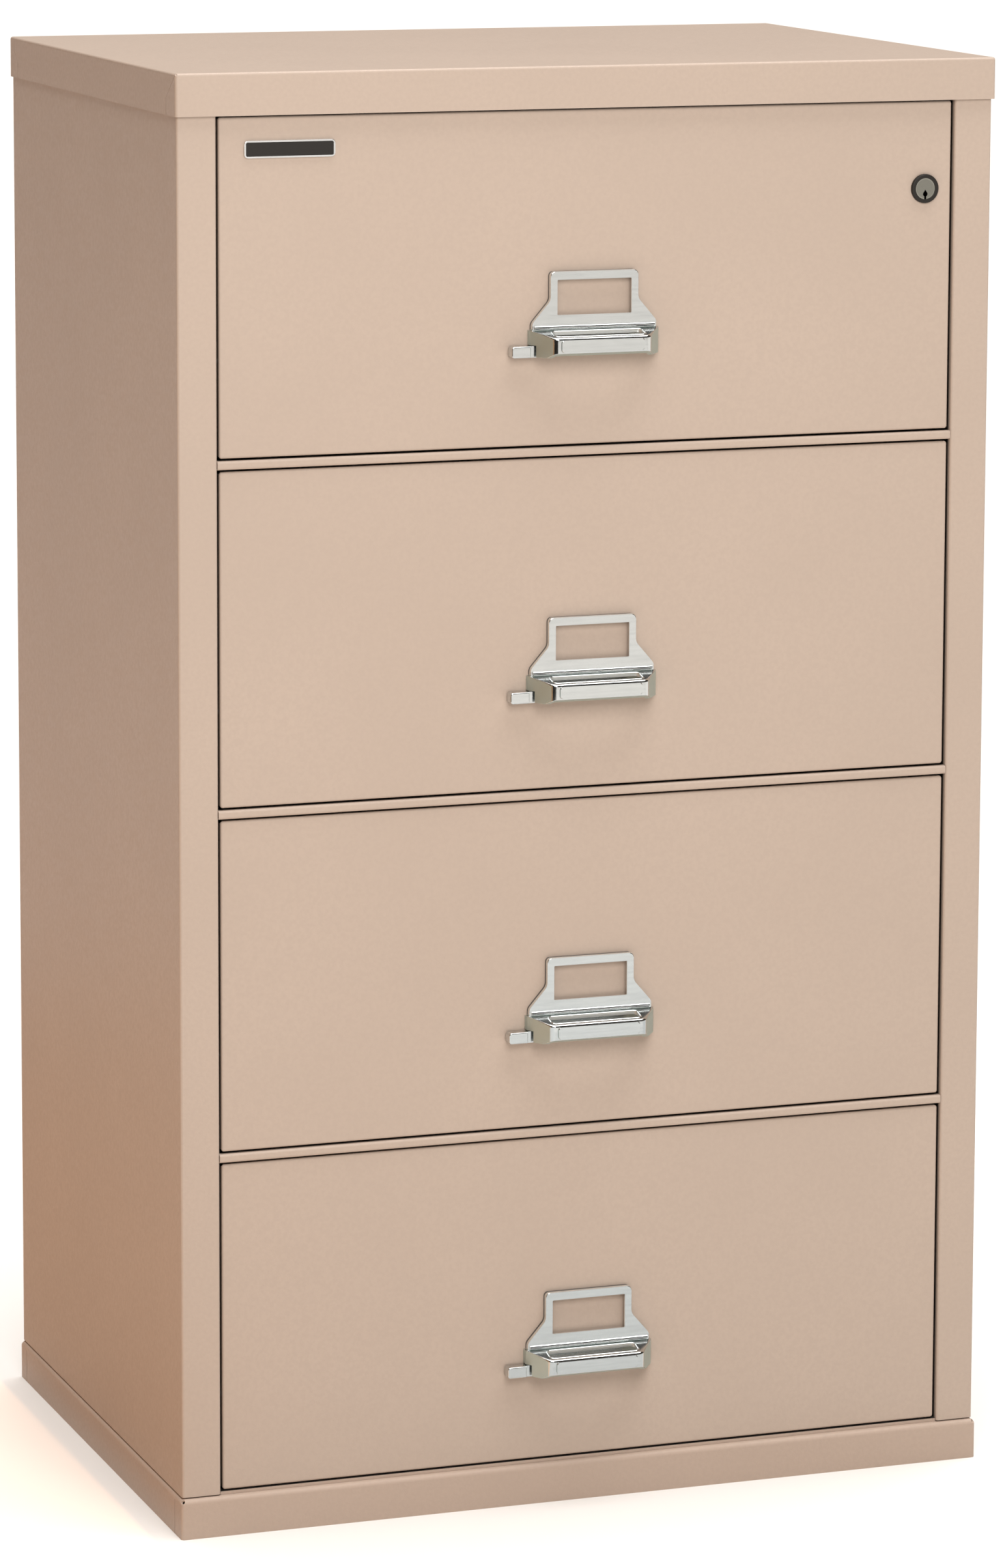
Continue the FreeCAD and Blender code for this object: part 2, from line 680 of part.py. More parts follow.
def card_plate(low):
    """Flat plate with the card window; its outer edge is rounded."""
    right = plate_outline(low)
    left = [mirror_x(edge) for edge in right]
    foot = Part.LineSegment(V(-SHOULDER_HALF_WIDTH, FACE_FRONT, low + RIDGE),
                            V(SHOULDER_HALF_WIDTH, FACE_FRONT, low + RIDGE)).toShape()
    outline = Part.Wire(Part.__sortEdges__(right + left + [foot]))
    plate = Part.Face(outline).extrude(V(0, -PLATE_PROUD, 0))
    edges = outline_at(plate, "Y", PLATE_FRONT, skip=lambda p: p.z < low + RIDGE + HAIR)
    plate = plate.makeFillet(PLATE_EDGE, edges)
    window = box(-WINDOW_HALF_WIDTH, WINDOW_HALF_WIDTH, PLATE_FRONT - OVER, FACE_FRONT + OVER,
                 low + WINDOW_LOW, low + WINDOW_HIGH)
    return plate.cut(round_along(window, ALONG_Y, WINDOW_CORNER))


def ridge_bead(low):
    """Round rail along the foot of the card plate, with ball ends."""
    y = PLATE_FRONT - BEAD_SINK
    z = low + RIDGE - BEAD_DROP
    reach = SHOULDER_HALF_WIDTH - BEAD_RADIUS
    bead = rod(BEAD_RADIUS, (-reach, y, z), (reach, y, z))
    for x in (-reach, reach):
        bead = bead.fuse(Part.makeSphere(BEAD_RADIUS, V(x, y, z)))
    return bead


def grip_volume(low, inset, front, back, bottom):
    """The hood of the grip: square to the face for a short way, then tapering to the front bar."""
    half_wall = GRIP_HALF_WIDTH - inset
    half_front = BAR_HALF_WIDTH - HOLLOW_TAPER * inset
    plan = [(-half_wall, back), (-half_wall, PLATE_FRONT), (-half_front, front),
            (half_front, front), (half_wall, PLATE_FRONT), (half_wall, back)]
    high = low + GRIP_WALL_TOP - inset
    hood = plate_from([(x, y, bottom) for x, y in plan], (0, 0, high - bottom))
    slope = (GRIP_WALL_TOP - GRIP_FRONT_TOP) / (BAR_PROUD - PLATE_PROUD)
    tip = HANDLE_FRONT - OVER
    drop = slope * (PLATE_FRONT - tip)
    above = high + OVER
    wedge = [(-GRIP_HALF_WIDTH - OVER, y, z) for y, z in
             ((PLATE_FRONT, high), (tip, high - drop), (tip, above), (PLATE_FRONT, above))]
    return hood.cut(plate_from(wedge, (2 * (GRIP_HALF_WIDTH + OVER), 0, 0)))


def grip_hood(low):
    """Solid hood with its lower front edge bevelled and its outer edges rounded."""
    bottom = low + GRIP_LOW
    hood = grip_volume(low, 0, HANDLE_FRONT, FACE_FRONT, bottom)
    run = HANDLE_FRONT + BAR_CHAMFER_RUN
    outline = ((HANDLE_FRONT - OVER, bottom - OVER), (run, bottom - OVER), (run, bottom),
               (HANDLE_FRONT, bottom + BAR_CHAMFER_RISE), (HANDLE_FRONT - OVER, bottom + BAR_CHAMFER_RISE))
    bevel = plate_from([(-GRIP_HALF_WIDTH, y, z) for y, z in outline], (2 * GRIP_HALF_WIDTH, 0, 0))
    hood = hood.cut(bevel).removeSplitter()
    hood = round_along(hood, ALONG_Z, GRIP_CORNER, lambda p: p.y < HANDLE_FRONT + OVER)
    outer = [edge for edge in hood.Edges if edge.BoundBox.YMin < FACE_FRONT - OVER]
    return hood.makeFillet(GRIP_EDGE, outer)


def cut_finger_slot(hood, low):
    """Hollow the hood from below and open its top web with a round-edged slot."""
    bar_back = HANDLE_FRONT + BAR_THICK
    hollow = grip_volume(low, WALL_THICK, bar_back, FACE_FRONT - BACKPLATE, low + GRIP_LOW - OVER)
    hood = hood.cut(hollow)
    y_front = FACE_FRONT - SLOT_FRONT
    y_back = FACE_FRONT - SLOT_BACK
    web_low = low + GRIP_FRONT_TOP - WALL_THICK
    slot = box(-SLOT_HALF_WIDTH, SLOT_HALF_WIDTH, y_front, y_back, low + GRIP_LOW + BAR_CHAMFER_RISE,
               low + RIDGE)
    hood = hood.cut(round_along(slot, ALONG_Z, SLOT_CORNER))
    rim = FreeCAD.BoundBox(-SLOT_HALF_WIDTH - HAIR, y_front - HAIR, web_low,
                           SLOT_HALF_WIDTH + HAIR, y_back + HAIR, low + RIDGE)
    return hood.makeFillet(SLOT_EDGE, edges_inside(hood, rim))


def bar_pad(low):
    """Raised pad with bevelled edges on the front of the grip's bar."""
    pad = box(-PAD_HALF_WIDTH, PAD_HALF_WIDTH, HANDLE_FRONT - PAD_PROUD, HANDLE_FRONT + OVER,
              low + PAD_LOW, low + PAD_HIGH)
    pad = round_along(pad, ALONG_Y, PAD_CORNER)
    return pad.makeChamfer(PAD_BEVEL, outline_at(pad, "Y", HANDLE_FRONT - PAD_PROUD))


def make_handle(number):
    """Polished casting: card plate above, hooded grip with a through slot below."""
    low = face_low(number)
    hood = cut_finger_slot(grip_hood(low), low)
    shoulder = box(-SHOULDER_HALF_WIDTH, SHOULDER_HALF_WIDTH, PLATE_FRONT, FACE_FRONT,
                   low + GRIP_WALL_TOP - SHOULDER_LAP, low + RIDGE)
    body = hood.fuse(shoulder).fuse(card_plate(low)).fuse(ridge_bead(low)).removeSplitter()
    notch = box(-GRIP_HALF_WIDTH - OVER, -GRIP_HALF_WIDTH + NOTCH_REACH, FACE_FRONT - TAB_PROUD - 2 * FREE,
                FACE_FRONT + OVER, low + GRIP_LOW - OVER, low + TAB_HIGH + 2 * FREE)
    body = body.cut(notch).cut(shank_slot(number, PLATE_FRONT, FACE_FRONT + OVER))
    return body.fuse(bar_pad(low)).removeSplitter()


def make_thumb_latch(number):
    """Thumb tab, its shank through the face, and the rod that ends in the latch bolt."""
    low = face_low(number)
    tab_front = FACE_FRONT - TAB_PROUD
    tab_low = low + TAB_LOW
    tab_high = low + TAB_HIGH
    tab = box(TAB_LEFT, TAB_RIGHT, tab_front, FACE_FRONT - TAB_GAP, tab_low, tab_high)
    tab = round_along(tab, ALONG_Y, TAB_CORNER, lambda p: p.x < TAB_LEFT + OVER)
    tab = tab.makeFillet(TAB_EDGE, outline_at(tab, "Y", tab_front))
    tail_back = FACE_FRONT - BACKPLATE - CORE_GAP
    tail = box(TAB_RIGHT - OVER, TAIL_RIGHT, tab_front + TAIL_SET_BACK, tail_back, tab_low, tab_high)
    middle = low + ROD_HEIGHT
    shank = box(SHANK_LEFT, TAIL_RIGHT, tail_back - OVER, ROD_Y, middle - SHANK_HALF, middle + SHANK_HALF)
    bolt = rod(ROD_RADIUS, (ROD_END, ROD_Y, middle), (TAIL_RIGHT, ROD_Y, middle))
    bolt = bolt.makeChamfer(ROD_CHAMFER, outline_at(bolt, "X", ROD_END))
    return tab.fuse(tail).fuse(shank).fuse(bolt).removeSplitter()


# ---- Lock and badge ----

def make_lock_housing():
    front = FACE_FRONT - BEZEL_PROUD
    flange = lock_bore(BEZEL_RADIUS, front, FACE_FRONT)
    flange = flange.makeFillet(BEZEL_EDGE, outline_at(flange, "Y", front))
    barrel = lock_bore(BARREL_RADIUS, FACE_FRONT - CORE_GAP, CAM_Y - FREE)
    bore = lock_bore(PLUG_RADIUS + PLUG_CLEARANCE, front - OVER, CAM_Y + OVER)
    return flange.fuse(barrel).cut(bore)


def make_lock_nut():
    """Round nut with two flats that clamps the lock from behind."""
    start = HEAD_BACK + HAIR
    end = start + NUT_THICK
    z = face_low(1) + LOCK_HEIGHT
    ring = lock_bore(NUT_RADIUS, start, end)
    flats = box(LOCK_X - NUT_HALF_FLATS, LOCK_X + NUT_HALF_FLATS, start, end, z - NUT_RADIUS, z + NUT_RADIUS)
    return ring.common(flats).cut(lock_bore(BARREL_RADIUS + HAIR, start - OVER, end + OVER))


def make_lock_plug():
    """Plug with a teardrop keyway that runs out through its lower rim, and a cam at the back."""
    z = face_low(1) + LOCK_HEIGHT
    start = FACE_FRONT - BEZEL_PROUD + PLUG_SINK - OVER
    deep = KEYWAY_DEPTH + OVER
    middle = z - KEYWAY_BULB
    apex = z - KEYWAY_APEX
    lean = math.acos(KEYWAY_RADIUS / (apex - middle))
    side = KEYWAY_RADIUS * math.sin(lean)
    touch = middle + KEYWAY_RADIUS * math.cos(lean)
    bulb = rod(KEYWAY_RADIUS, (LOCK_X, start, middle), (LOCK_X, start + deep, middle))
    point = plate_from([(LOCK_X, start, apex), (LOCK_X + side, start, touch), (LOCK_X, start, middle),
                        (LOCK_X - side, start, touch)], (0, deep, 0))
    slot = box(LOCK_X - KEYWAY_SLOT, LOCK_X + KEYWAY_SLOT, start, start + deep,
               z - PLUG_RADIUS - OVER, middle)
    plug = lock_bore(PLUG_RADIUS, start + OVER, CAM_Y)
    cam = box(LOCK_X - CAM_HALF_WIDTH, LOCK_X + CAM_HALF_WIDTH, CAM_Y, CAM_Y + CAM_THICK,
              z - CAM_LENGTH, z + CAM_HALF_WIDTH)
    keyway = bulb.fuse(point).fuse(slot)
    return plug.cut(keyway).fuse(round_along(cam, ALONG_Y, CAM_CORNER))


def make_badge_plate():
    low = face_low(1) + BADGE_LOW
    return rounded_block(BADGE_LEFT, BADGE_RIGHT, FACE_FRONT - BADGE_THICK, FACE_FRONT,
                         low, low + BADGE_TALL, BADGE_CORNER, BADGE_EDGE)


def make_lock_bar():
    """Flat bar in the right wall with one lug for each drawer."""
    bar = box(BAR_X, BAR_X + BAR_WIDE, BAR_Y0, BAR_Y1, face_low(4) + BAR_FOOT, face_low(1) + BAR_HEAD)
    for number in DRAWERS:
        z = face_low(number) + LUG_LOW
        bar = bar.fuse(box(LUG_TIP, BAR_X, BAR_Y0 + LUG_INSET, BAR_Y1 - LUG_INSET, z, z + LUG_TALL))
    return bar.removeSplitter()


# ---- All nodes ----

def make_nodes():
    nodes = {
        "top_cap": make_top_cap(),
        "base_plinth": make_base_plinth(),
        "left_side_panel": make_left_side_panel(),
        "right_side_panel": make_right_side_panel(),
        "back_panel": make_back_panel(),
        "top_insulation": make_top_insulation(),
        "floor_insulation": make_floor_insulation(),
        "wall_insulation": make_wall_insulation(),
        "cabinet_slide_channels": make_cabinet_channels(),
        "lock_bar": make_lock_bar(),
        "lock_housing": make_lock_housing(),
        "lock_nut": make_lock_nut(),
        "lock_plug": make_lock_plug(),
        "badge_plate": make_badge_plate(),
    }
    for number in DRAWERS:
        prefix = "drawer_%d_" % number
        nodes["compartment_liner_%d" % number] = make_liner(number)
        nodes[prefix + "front"] = make_face(number)
        nodes[prefix + "insulation"] = make_core(number)
        nodes[prefix + "head_liner"] = make_head_liner(number)
        nodes[prefix + "tray"] = make_tray(number)
        nodes[prefix + "hanging_rails"] = make_hanging_rails(number)
        nodes[prefix + "handle"] = make_handle(number)
        nodes[prefix + "thumb_latch"] = make_thumb_latch(number)
        nodes[prefix + "mid_slides"] = make_mid_slides(number)
        nodes[prefix + "inner_slides"] = make_inner_slides(number)
    for number in DRAWERS[:-1]:
        nodes["divider_insulation_%d" % number] = make_divider(number)
        nodes["front_rail_%d" % number] = make_rail(number)
    return nodes


os.makedirs("parts", exist_ok=True)
for name, shape in sorted(make_nodes().items()):
    shape.exportStep("parts/%s.step" % name)
    print(name, shape.isValid(), len(shape.Solids), round(shape.Volume))
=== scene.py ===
"""Looks for the four-drawer lateral file: materials, handles, badge, light and camera, in metres."""
import json
import math

import bmesh
import bpy
from mathutils import Matrix, Vector


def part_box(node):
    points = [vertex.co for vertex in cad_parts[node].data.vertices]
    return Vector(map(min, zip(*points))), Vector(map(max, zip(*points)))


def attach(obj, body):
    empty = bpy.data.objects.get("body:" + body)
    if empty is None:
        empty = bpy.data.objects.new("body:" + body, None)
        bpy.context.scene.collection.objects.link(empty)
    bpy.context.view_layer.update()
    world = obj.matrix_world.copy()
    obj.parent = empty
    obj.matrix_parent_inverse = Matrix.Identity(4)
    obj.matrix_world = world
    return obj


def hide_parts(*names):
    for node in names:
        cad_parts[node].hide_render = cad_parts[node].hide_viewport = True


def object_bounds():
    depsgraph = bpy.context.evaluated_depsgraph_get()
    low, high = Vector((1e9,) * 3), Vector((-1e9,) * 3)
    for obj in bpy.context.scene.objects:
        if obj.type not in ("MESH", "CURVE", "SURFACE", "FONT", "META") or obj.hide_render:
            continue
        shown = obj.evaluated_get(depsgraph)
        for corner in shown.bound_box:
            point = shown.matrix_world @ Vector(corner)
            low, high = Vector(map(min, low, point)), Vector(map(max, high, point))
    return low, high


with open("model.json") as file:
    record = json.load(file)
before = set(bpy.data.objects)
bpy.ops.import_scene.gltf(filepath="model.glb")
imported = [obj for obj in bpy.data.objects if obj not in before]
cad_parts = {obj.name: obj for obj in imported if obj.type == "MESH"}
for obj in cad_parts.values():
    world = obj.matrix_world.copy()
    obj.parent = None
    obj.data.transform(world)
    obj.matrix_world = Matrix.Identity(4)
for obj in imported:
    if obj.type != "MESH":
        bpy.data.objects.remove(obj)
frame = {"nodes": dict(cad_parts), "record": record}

CAD_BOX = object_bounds()
DRAWERS = (1, 2, 3, 4)

# Camera: a long lens a little above the cabinet's top, left of its middle
CAMERA_PLACE = (-1.894, -5.328, 1.694)
CAMERA_YAW = 19.68
CAMERA_PITCH = -8.40
CAMERA_ROLL = 0.20
CAMERA_SHIFT = -0.15
LENS = 136.8
SENSOR = 36.0

# Light: a broad overhead source, a soft box in front and a dim surround
SUN_PLACE = (0.10, 0.00, 1.05)
SUN_AIM = (0.0, 0.0, 0.0)
SUN_STRENGTH = 4.7
SUN_SPREAD = 55.0
FRONT_BOX = (-0.5, -2.9, 2.3)
FRONT_BOX_AIM = (0.0, -0.3, 1.0)
FRONT_BOX_SIZE = (2.0, 1.6)
FRONT_POWER = 66.0
SURROUND = 0.06
SURROUND_TONE = (1.0, 0.87, 0.76)
BACKDROP_TONE = (1.0, 1.0, 1.0)

# Floor, and the cards and the flag that tint the light on the cabinet.
# The camera sees only the floor; the front card and the flag show in glossy surfaces alone
FLOOR_REACH = 60.0
FLOOR_TONE = (0.76, 0.73, 0.695)
CARD_X = -2.3
CARD_FRONT = -2.5
CARD_BACK = 2.0
CARD_TOP = 2.4
CARD_TONE = (0.40, 0.26, 0.16)
FLOOR_CARD_EDGE = -0.42
FLOOR_CARD_FRONT = -0.75
FLOOR_CARD_RISE = 0.002
FLOOR_CARD_TONE = (0.62, 0.44, 0.32)
FRONT_CARD = (-2.3, 2.6, -2.6, -0.36)
FRONT_CARD_RISE = 0.001
FRONT_CARD_TONE = (0.47, 0.48, 0.475)
FLAG_FROM = (-0.30, -3.3)
FLAG_TO = (-2.60, -1.6)
FLAG_LOW = 0.25
FLAG_HIGH = 2.3
FLAG_TONE = (0.03, 0.028, 0.026)
PAPER_ROUGHNESS = 0.9
PAPER_SPECULAR = 0.1

# Tones
PAINT = (0.458, 0.361, 0.293)
# A darker copy of the paint for the plinth: painted shade near the floor
SHADED_BASE_PAINT = (0.444, 0.339, 0.270)
# Painted shade: near black in the gaps round the drawers, in the lock's keyway and on the plaster's top edge
PAINTED_SHADE = (0.020, 0.014, 0.010)
# Painted shade on the drawer fronts' flanges inside the gaps: dark brown
FLANGE_SHADE = (0.110, 0.080, 0.060)
CHROME = (0.625, 0.64, 0.632)
SATIN_SIDE = (0.52, 0.60, 0.565)
# Lighter than the chrome: painted light on the satin slot walls and the plate's edge; their roughness is a
# real satin finish
LIGHTENED_SATIN = (0.82, 0.82, 0.79)
NICKEL = (0.30, 0.29, 0.25)
ZINC = (0.62, 0.63, 0.64)
ALUMINIUM = (0.78, 0.78, 0.77)
PLASTER_DARK = (0.62, 0.60, 0.56)
PLASTER_LIGHT = (0.80, 0.78, 0.73)
LACQUER_DARK = (0.013, 0.010, 0.008)
LACQUER_LIGHT = (0.020, 0.016, 0.012)

# Roughness: one value, or a range over which a noise runs
PAINT_ROUGHNESS = 0.42
INNER_ROUGHNESS = 0.5
PLASTER_ROUGHNESS = 0.9
POLISHED = (0.05, 0.09)
BRUSHED = (0.16, 0.24)
WEB = (0.14, 0.20)
SATIN = (0.40, 0.50)
LOCK_SATIN = (0.26, 0.38)
LACQUER = (0.42, 0.55)
PAINT_SPECULAR = 0.18
LACQUER_SPECULAR = 0.3

# The part of a noise's range in which nearly all of its values lie
NOISE_LOW = 0.3
NOISE_HIGH = 0.7

# Inside the gaps round the drawers the surfaces carry painted shade, near black on the cabinet and dark
# brown on the drawer fronts; the plaster's front is painted below the last height, with painted shade above
GAP_REACH = 0.3590
GAP_LOW = 0.0380
GAP_HIGH = 1.3012
GAP_START = -0.2725
GAP_FULL = -0.2695
GAP_BACK = -0.2490
PAINTED_EDGE = 0.0406

# Casting: parts of the surface's direction at which one finish gives way to the next
BRUSHED_FROM = -0.93
BRUSHED_FULL = -0.985
WEB_FROM = 0.90
WEB_FULL = 0.95
SIDE_FROM = 0.70
SIDE_FULL = 0.78
UNDER_FROM = -0.70
UNDER_FULL = -0.80
PLATE_SIDE_FROM = -0.45
PLATE_SIDE_FULL = -0.25
SLOPE_UP = 0.6

# Lock disc, in metres
LOCK_X = 0.328
LOCK_Z = 1.2195
LOCK_RIM_START = 0.0086
LOCK_RIM_END = 0.0092
KEYWAY_START = -0.2768
KEYWAY_DARK = -0.2760
KEYWAY_END = -0.2640

# Mesh building, in millimetres and degrees; PAST is how far a cutter runs beyond what it cuts
MM = 0.001
HAIR = 0.1
PAST = 1.0
MERGE_ANGLE = 0.5
SHARP_ANGLE = 32.0
FLAT_WEIGHT = 90
TUBE_STEPS = 4

# Handle, in millimetres: heights above the drawer face's lower edge, depths in front of the face
PLATE_TOP = 159.0
PLATE_X = 42.5
PLATE_PROUD = 7.0
PLATE_CORNER = 4.0
PLATE_EDGE = 1.9
WINDOW_LOW = 119.5
WINDOW_HIGH = 151.6
WINDOW_X = 35.9
WINDOW_CORNER = 0.8
WINDOW_LIP = 1.8
POCKET_REACH = 2.5
RIDGE = 109.6
SHOULDER_X = 60.2
SHOULDER_TURN = 41.0
SHOULDER_CROWN = 7.4
SHOULDER_HOLLOW = 10.0
SHOULDER_EDGE = 0.5
SHOULDER_OVERLAP = 2.0
HOLLOW_Z = RIDGE + 27.0
BEAD_RADIUS = 1.9
BEAD_DROP = 1.2
GRIP_LOW = 82.2
GRIP_WALL_TOP = 106.2
GRIP_FRONT_TOP = 100.7
GRIP_X = 62.3
GRIP_CORNER = 3.6
GRIP_EDGE = 1.2
GRIP_CREASE = 24.0
BAR_X = 45.8
BAR_PROUD = 30.0
BAR_THICK = 4.5
BAR_ROLL = 2.0
BEVEL_RUN = 8.0
BEVEL_RISE = 4.5
WALL = 3.5
BACKPLATE = 3.0
HOLLOW_TAPER = 0.6
SLOT_X = 43.5
SLOT_FRONT = 25.0
SLOT_BACK = 11.0
SLOT_CORNER = 4.0
SLOT_CUT_RISE = 5.0
RIM_RADIUS = 1.1
RIM_OUT = 0.5
RIM_SINK = 0.6
PAD_X = 40.0
PAD_LOW = 87.7
PAD_HIGH = 98.9
PAD_PROUD = 1.2
PAD_CORNER = 2.0
PAD_BEVEL = 0.9
NOTCH_X = -53.3
NOTCH_PROUD = 12.6
NOTCH_TOP = 93.0
NOTCH_PAST = 2.0
NOTCH_CORNER = 1.5
SHANK_LEFT = -56.6
SHANK_RIGHT = -40.4
SHANK_LOW = 83.6
SHANK_HIGH = 90.8
SHANK_CORNER = 0.3
SATIN_TOP = 107.0
# Depths over which the plate's edge takes on its painted dark reflection
DARK_FROM = 3.0
DARK_FULL = 2.4

# Badge plate, in millimetres
BADGE_CORNER = 3.0
BADGE_EDGE = 0.5
BADGE_RIM = 1.5
BADGE_WELL = 1.2
BADGE_GAP = 0.05
BADGE_FIELD_SINK = 0.4


# ---- Node helpers ----

def new_material(name):
    material = bpy.data.materials.new(name)
    material.use_nodes = True
    tree = material.node_tree
    tree.nodes.clear()
    output = tree.nodes.new("ShaderNodeOutputMaterial")
    shader = tree.nodes.new("ShaderNodeBsdfPrincipled")
    tree.links.new(shader.outputs["BSDF"], output.inputs["Surface"])
    return material, tree, shader


def object_coordinates(tree):
    return tree.nodes.new("ShaderNodeTexCoord").outputs["Object"]


def vector_parts(tree, vector):
    node = tree.nodes.new("ShaderNodeSeparateXYZ")
    tree.links.new(vector, node.inputs["Vector"])
    return node.outputs["X"], node.outputs["Y"], node.outputs["Z"]


def stretched(tree, where, factors):
    node = tree.nodes.new("ShaderNodeMapping")
    node.inputs["Scale"].default_value = factors
    tree.links.new(where, node.inputs["Vector"])
    return node.outputs["Vector"]


def noise(tree, where, scale, detail=2.0, roughness=0.5):
    node = tree.nodes.new("ShaderNodeTexNoise")
    node.inputs["Scale"].default_value = scale
    node.inputs["Detail"].default_value = detail
    node.inputs["Roughness"].default_value = roughness
    tree.links.new(where, node.inputs["Vector"])
    return node.outputs["Fac"]


def remap(tree, value, low, high, to_low, to_high):
    node = tree.nodes.new("ShaderNodeMapRange")
    node.inputs["From Min"].default_value = low
    node.inputs["From Max"].default_value = high
    node.inputs["To Min"].default_value = to_low
    node.inputs["To Max"].default_value = to_high
    tree.links.new(value, node.inputs["Value"])
    return node.outputs["Result"]


def ramp(tree, value, start, full):
    """Nothing as far as the start, one from full on."""
    return remap(tree, value, start, full, 0.0, 1.0)


def from_noise(tree, value, to_low, to_high):
    """A noise value spread over a range."""
    return remap(tree, value, NOISE_LOW, NOISE_HIGH, to_low, to_high)


def math_node(tree, operation, first, second=None):
    node = tree.nodes.new("ShaderNodeMath")
    node.operation = operation
    for socket, value in zip(node.inputs, (first, second)):
        if isinstance(value, (int, float)):
            socket.default_value = value
        elif value is not None:
            tree.links.new(value, socket)
    return node.outputs["Value"]


def all_of(tree, first, *others):
    """One where every mask is one."""
    mask = first
    for other in others:
        mask = math_node(tree, "MULTIPLY", mask, other)
    return mask


def mix_colours(tree, factor, first, second):
    node = tree.nodes.new("ShaderNodeMix")
    node.data_type = "RGBA"
    tree.links.new(factor, node.inputs["Factor"])
    for socket, colour in ((node.inputs["A"], first), (node.inputs["B"], second)):
        if isinstance(colour, tuple):
            socket.default_value = (*colour, 1.0)
        else:
            tree.links.new(colour, socket)
    return node.outputs["Result"]


def mix_values(tree, factor, first, second):
    node = tree.nodes.new("ShaderNodeMix")
    node.data_type = "FLOAT"
    for name, value in (("Factor", factor), ("A", first), ("B", second)):
        tree.links.new(value, node.inputs[name])
    return node.outputs["Result"]


def bump(tree, height, strength, distance):
    node = tree.nodes.new("ShaderNodeBump")
    node.inputs["Strength"].default_value = strength
    node.inputs["Distance"].default_value = distance
    tree.links.new(height, node.inputs["Height"])
    return node.outputs["Normal"]


def darker(colour, share):
    """A tone times a share; a share above one lightens it."""
    return tuple(channel * share for channel in colour)


def connect(tree, shader, tone, roughness, normal):
    tree.links.new(tone, shader.inputs["Base Color"])
    tree.links.new(roughness, shader.inputs["Roughness"])
    tree.links.new(normal, shader.inputs["Normal"])


# ---- Materials ----

def gap_shade_mask(tree, where):
    """One inside the gaps round the drawers, where the painted shade goes; nothing elsewhere."""
    x, y, z = vector_parts(tree, where)
    return all_of(tree, ramp(tree, y, GAP_START, GAP_FULL),
                  math_node(tree, "LESS_THAN", math_node(tree, "ABSOLUTE", x), GAP_REACH),
                  math_node(tree, "LESS_THAN", y, GAP_BACK),
                  math_node(tree, "GREATER_THAN", z, GAP_LOW),
                  math_node(tree, "LESS_THAN", z, GAP_HIGH))


def paint_material(name, colour, roughness=PAINT_ROUGHNESS, gap_shade=None):
    """Baked enamel over sheet steel: orange peel and faint blotches, and painted shade inside the gaps."""
    material, tree, shader = new_material(name)
    where = object_coordinates(tree)
    blotch = noise(tree, where, scale=5.0, detail=3.0)
    mottle = noise(tree, where, scale=260.0)
    peel = noise(tree, where, scale=420.0, detail=1.5)
    tone = mix_colours(tree, from_noise(tree, blotch, 0.0, 1.0), darker(colour, 0.975), darker(colour, 1.02))
    specks = remap(tree, mottle, low=0.35, high=0.65, to_low=0.0, to_high=0.5)
    tone = mix_colours(tree, specks, tone, darker(colour, 0.94))
    if gap_shade is not None:
        # Painted shade inside the gaps round the drawers
        tone = mix_colours(tree, gap_shade_mask(tree, where), tone, gap_shade)
    connect(tree, shader, tone, from_noise(tree, mottle, roughness - 0.05, roughness + 0.06),
            bump(tree, peel, strength=0.25, distance=0.0004))
    shader.inputs["Specular IOR Level"].default_value = PAINT_SPECULAR
    return material


def metal_material(name, colour, roughness, scale, marks, stretch):
    """Bare or plated metal with fine polishing marks."""
    material, tree, shader = new_material(name)
    where = object_coordinates(tree)
    grain = noise(tree, stretched(tree, where, stretch), scale, detail=4.0, roughness=0.6)
    shader.inputs["Metallic"].default_value = 1.0
    connect(tree, shader, mix_colours(tree, grain, darker(colour, 0.96), colour),
            from_noise(tree, grain, roughness * 0.8, roughness * 1.25),
            bump(tree, grain, marks, distance=0.0002))
    return material


def slot_walls(tree, x, y, n_z, hood):
    """One on the walls of the finger slot: inside its outline and not on the sloping top."""
    return all_of(tree, hood,
                  math_node(tree, "LESS_THAN", math_node(tree, "ABSOLUTE", x), (SLOT_X + HAIR) * MM),
                  math_node(tree, "GREATER_THAN", y, -(SLOT_FRONT + HAIR) * MM),
                  math_node(tree, "LESS_THAN", y, -(SLOT_BACK - HAIR) * MM),
                  math_node(tree, "LESS_THAN", n_z, SLOPE_UP))


def plate_sides(tree, n_y, hood):
    """One on the card plate's edge, above the hood."""
    above = math_node(tree, "SUBTRACT", 1.0, hood)
    return all_of(tree, above, ramp(tree, n_y, PLATE_SIDE_FROM, PLATE_SIDE_FULL))


def add_satin_and_painted_light(tree, where, facing, smudge, tone, gloss):
    """The handle's satin parts: the hood's sides and underside, the slot's walls and the plate's edge. The
    slot's walls and the plate's edge are lighter than the chrome, painted light, and the plate's edge darkens
    next to the face, a painted reflection.
    """
    x, y, z = vector_parts(tree, where)
    n_x, n_y, n_z = facing
    sides = ramp(tree, math_node(tree, "ABSOLUTE", n_x), SIDE_FROM, SIDE_FULL)
    under = ramp(tree, n_z, UNDER_FROM, UNDER_FULL)
    hood = math_node(tree, "LESS_THAN", z, SATIN_TOP * MM)
    satin = all_of(tree, math_node(tree, "MAXIMUM", sides, under), hood)
    walls = slot_walls(tree, x, y, n_z, hood)
    plate_edge = plate_sides(tree, n_y, hood)
    rough = from_noise(tree, smudge, *SATIN)
    # The slot walls and plate edge take a tone lighter than the chrome: painted light
    for mask, colour in ((satin, SATIN_SIDE), (walls, LIGHTENED_SATIN), (plate_edge, LIGHTENED_SATIN)):
        tone = mix_colours(tree, mask, tone, colour)
        gloss = mix_values(tree, mask, gloss, rough)
    # Painted reflection: the plate's edge darkens towards the drawer face
    edge_painted_reflection = all_of(tree, plate_edge, ramp(tree, y, -DARK_FROM * MM, -DARK_FULL * MM))
    return mix_colours(tree, edge_painted_reflection, tone, darker(CHROME, 0.25)), gloss


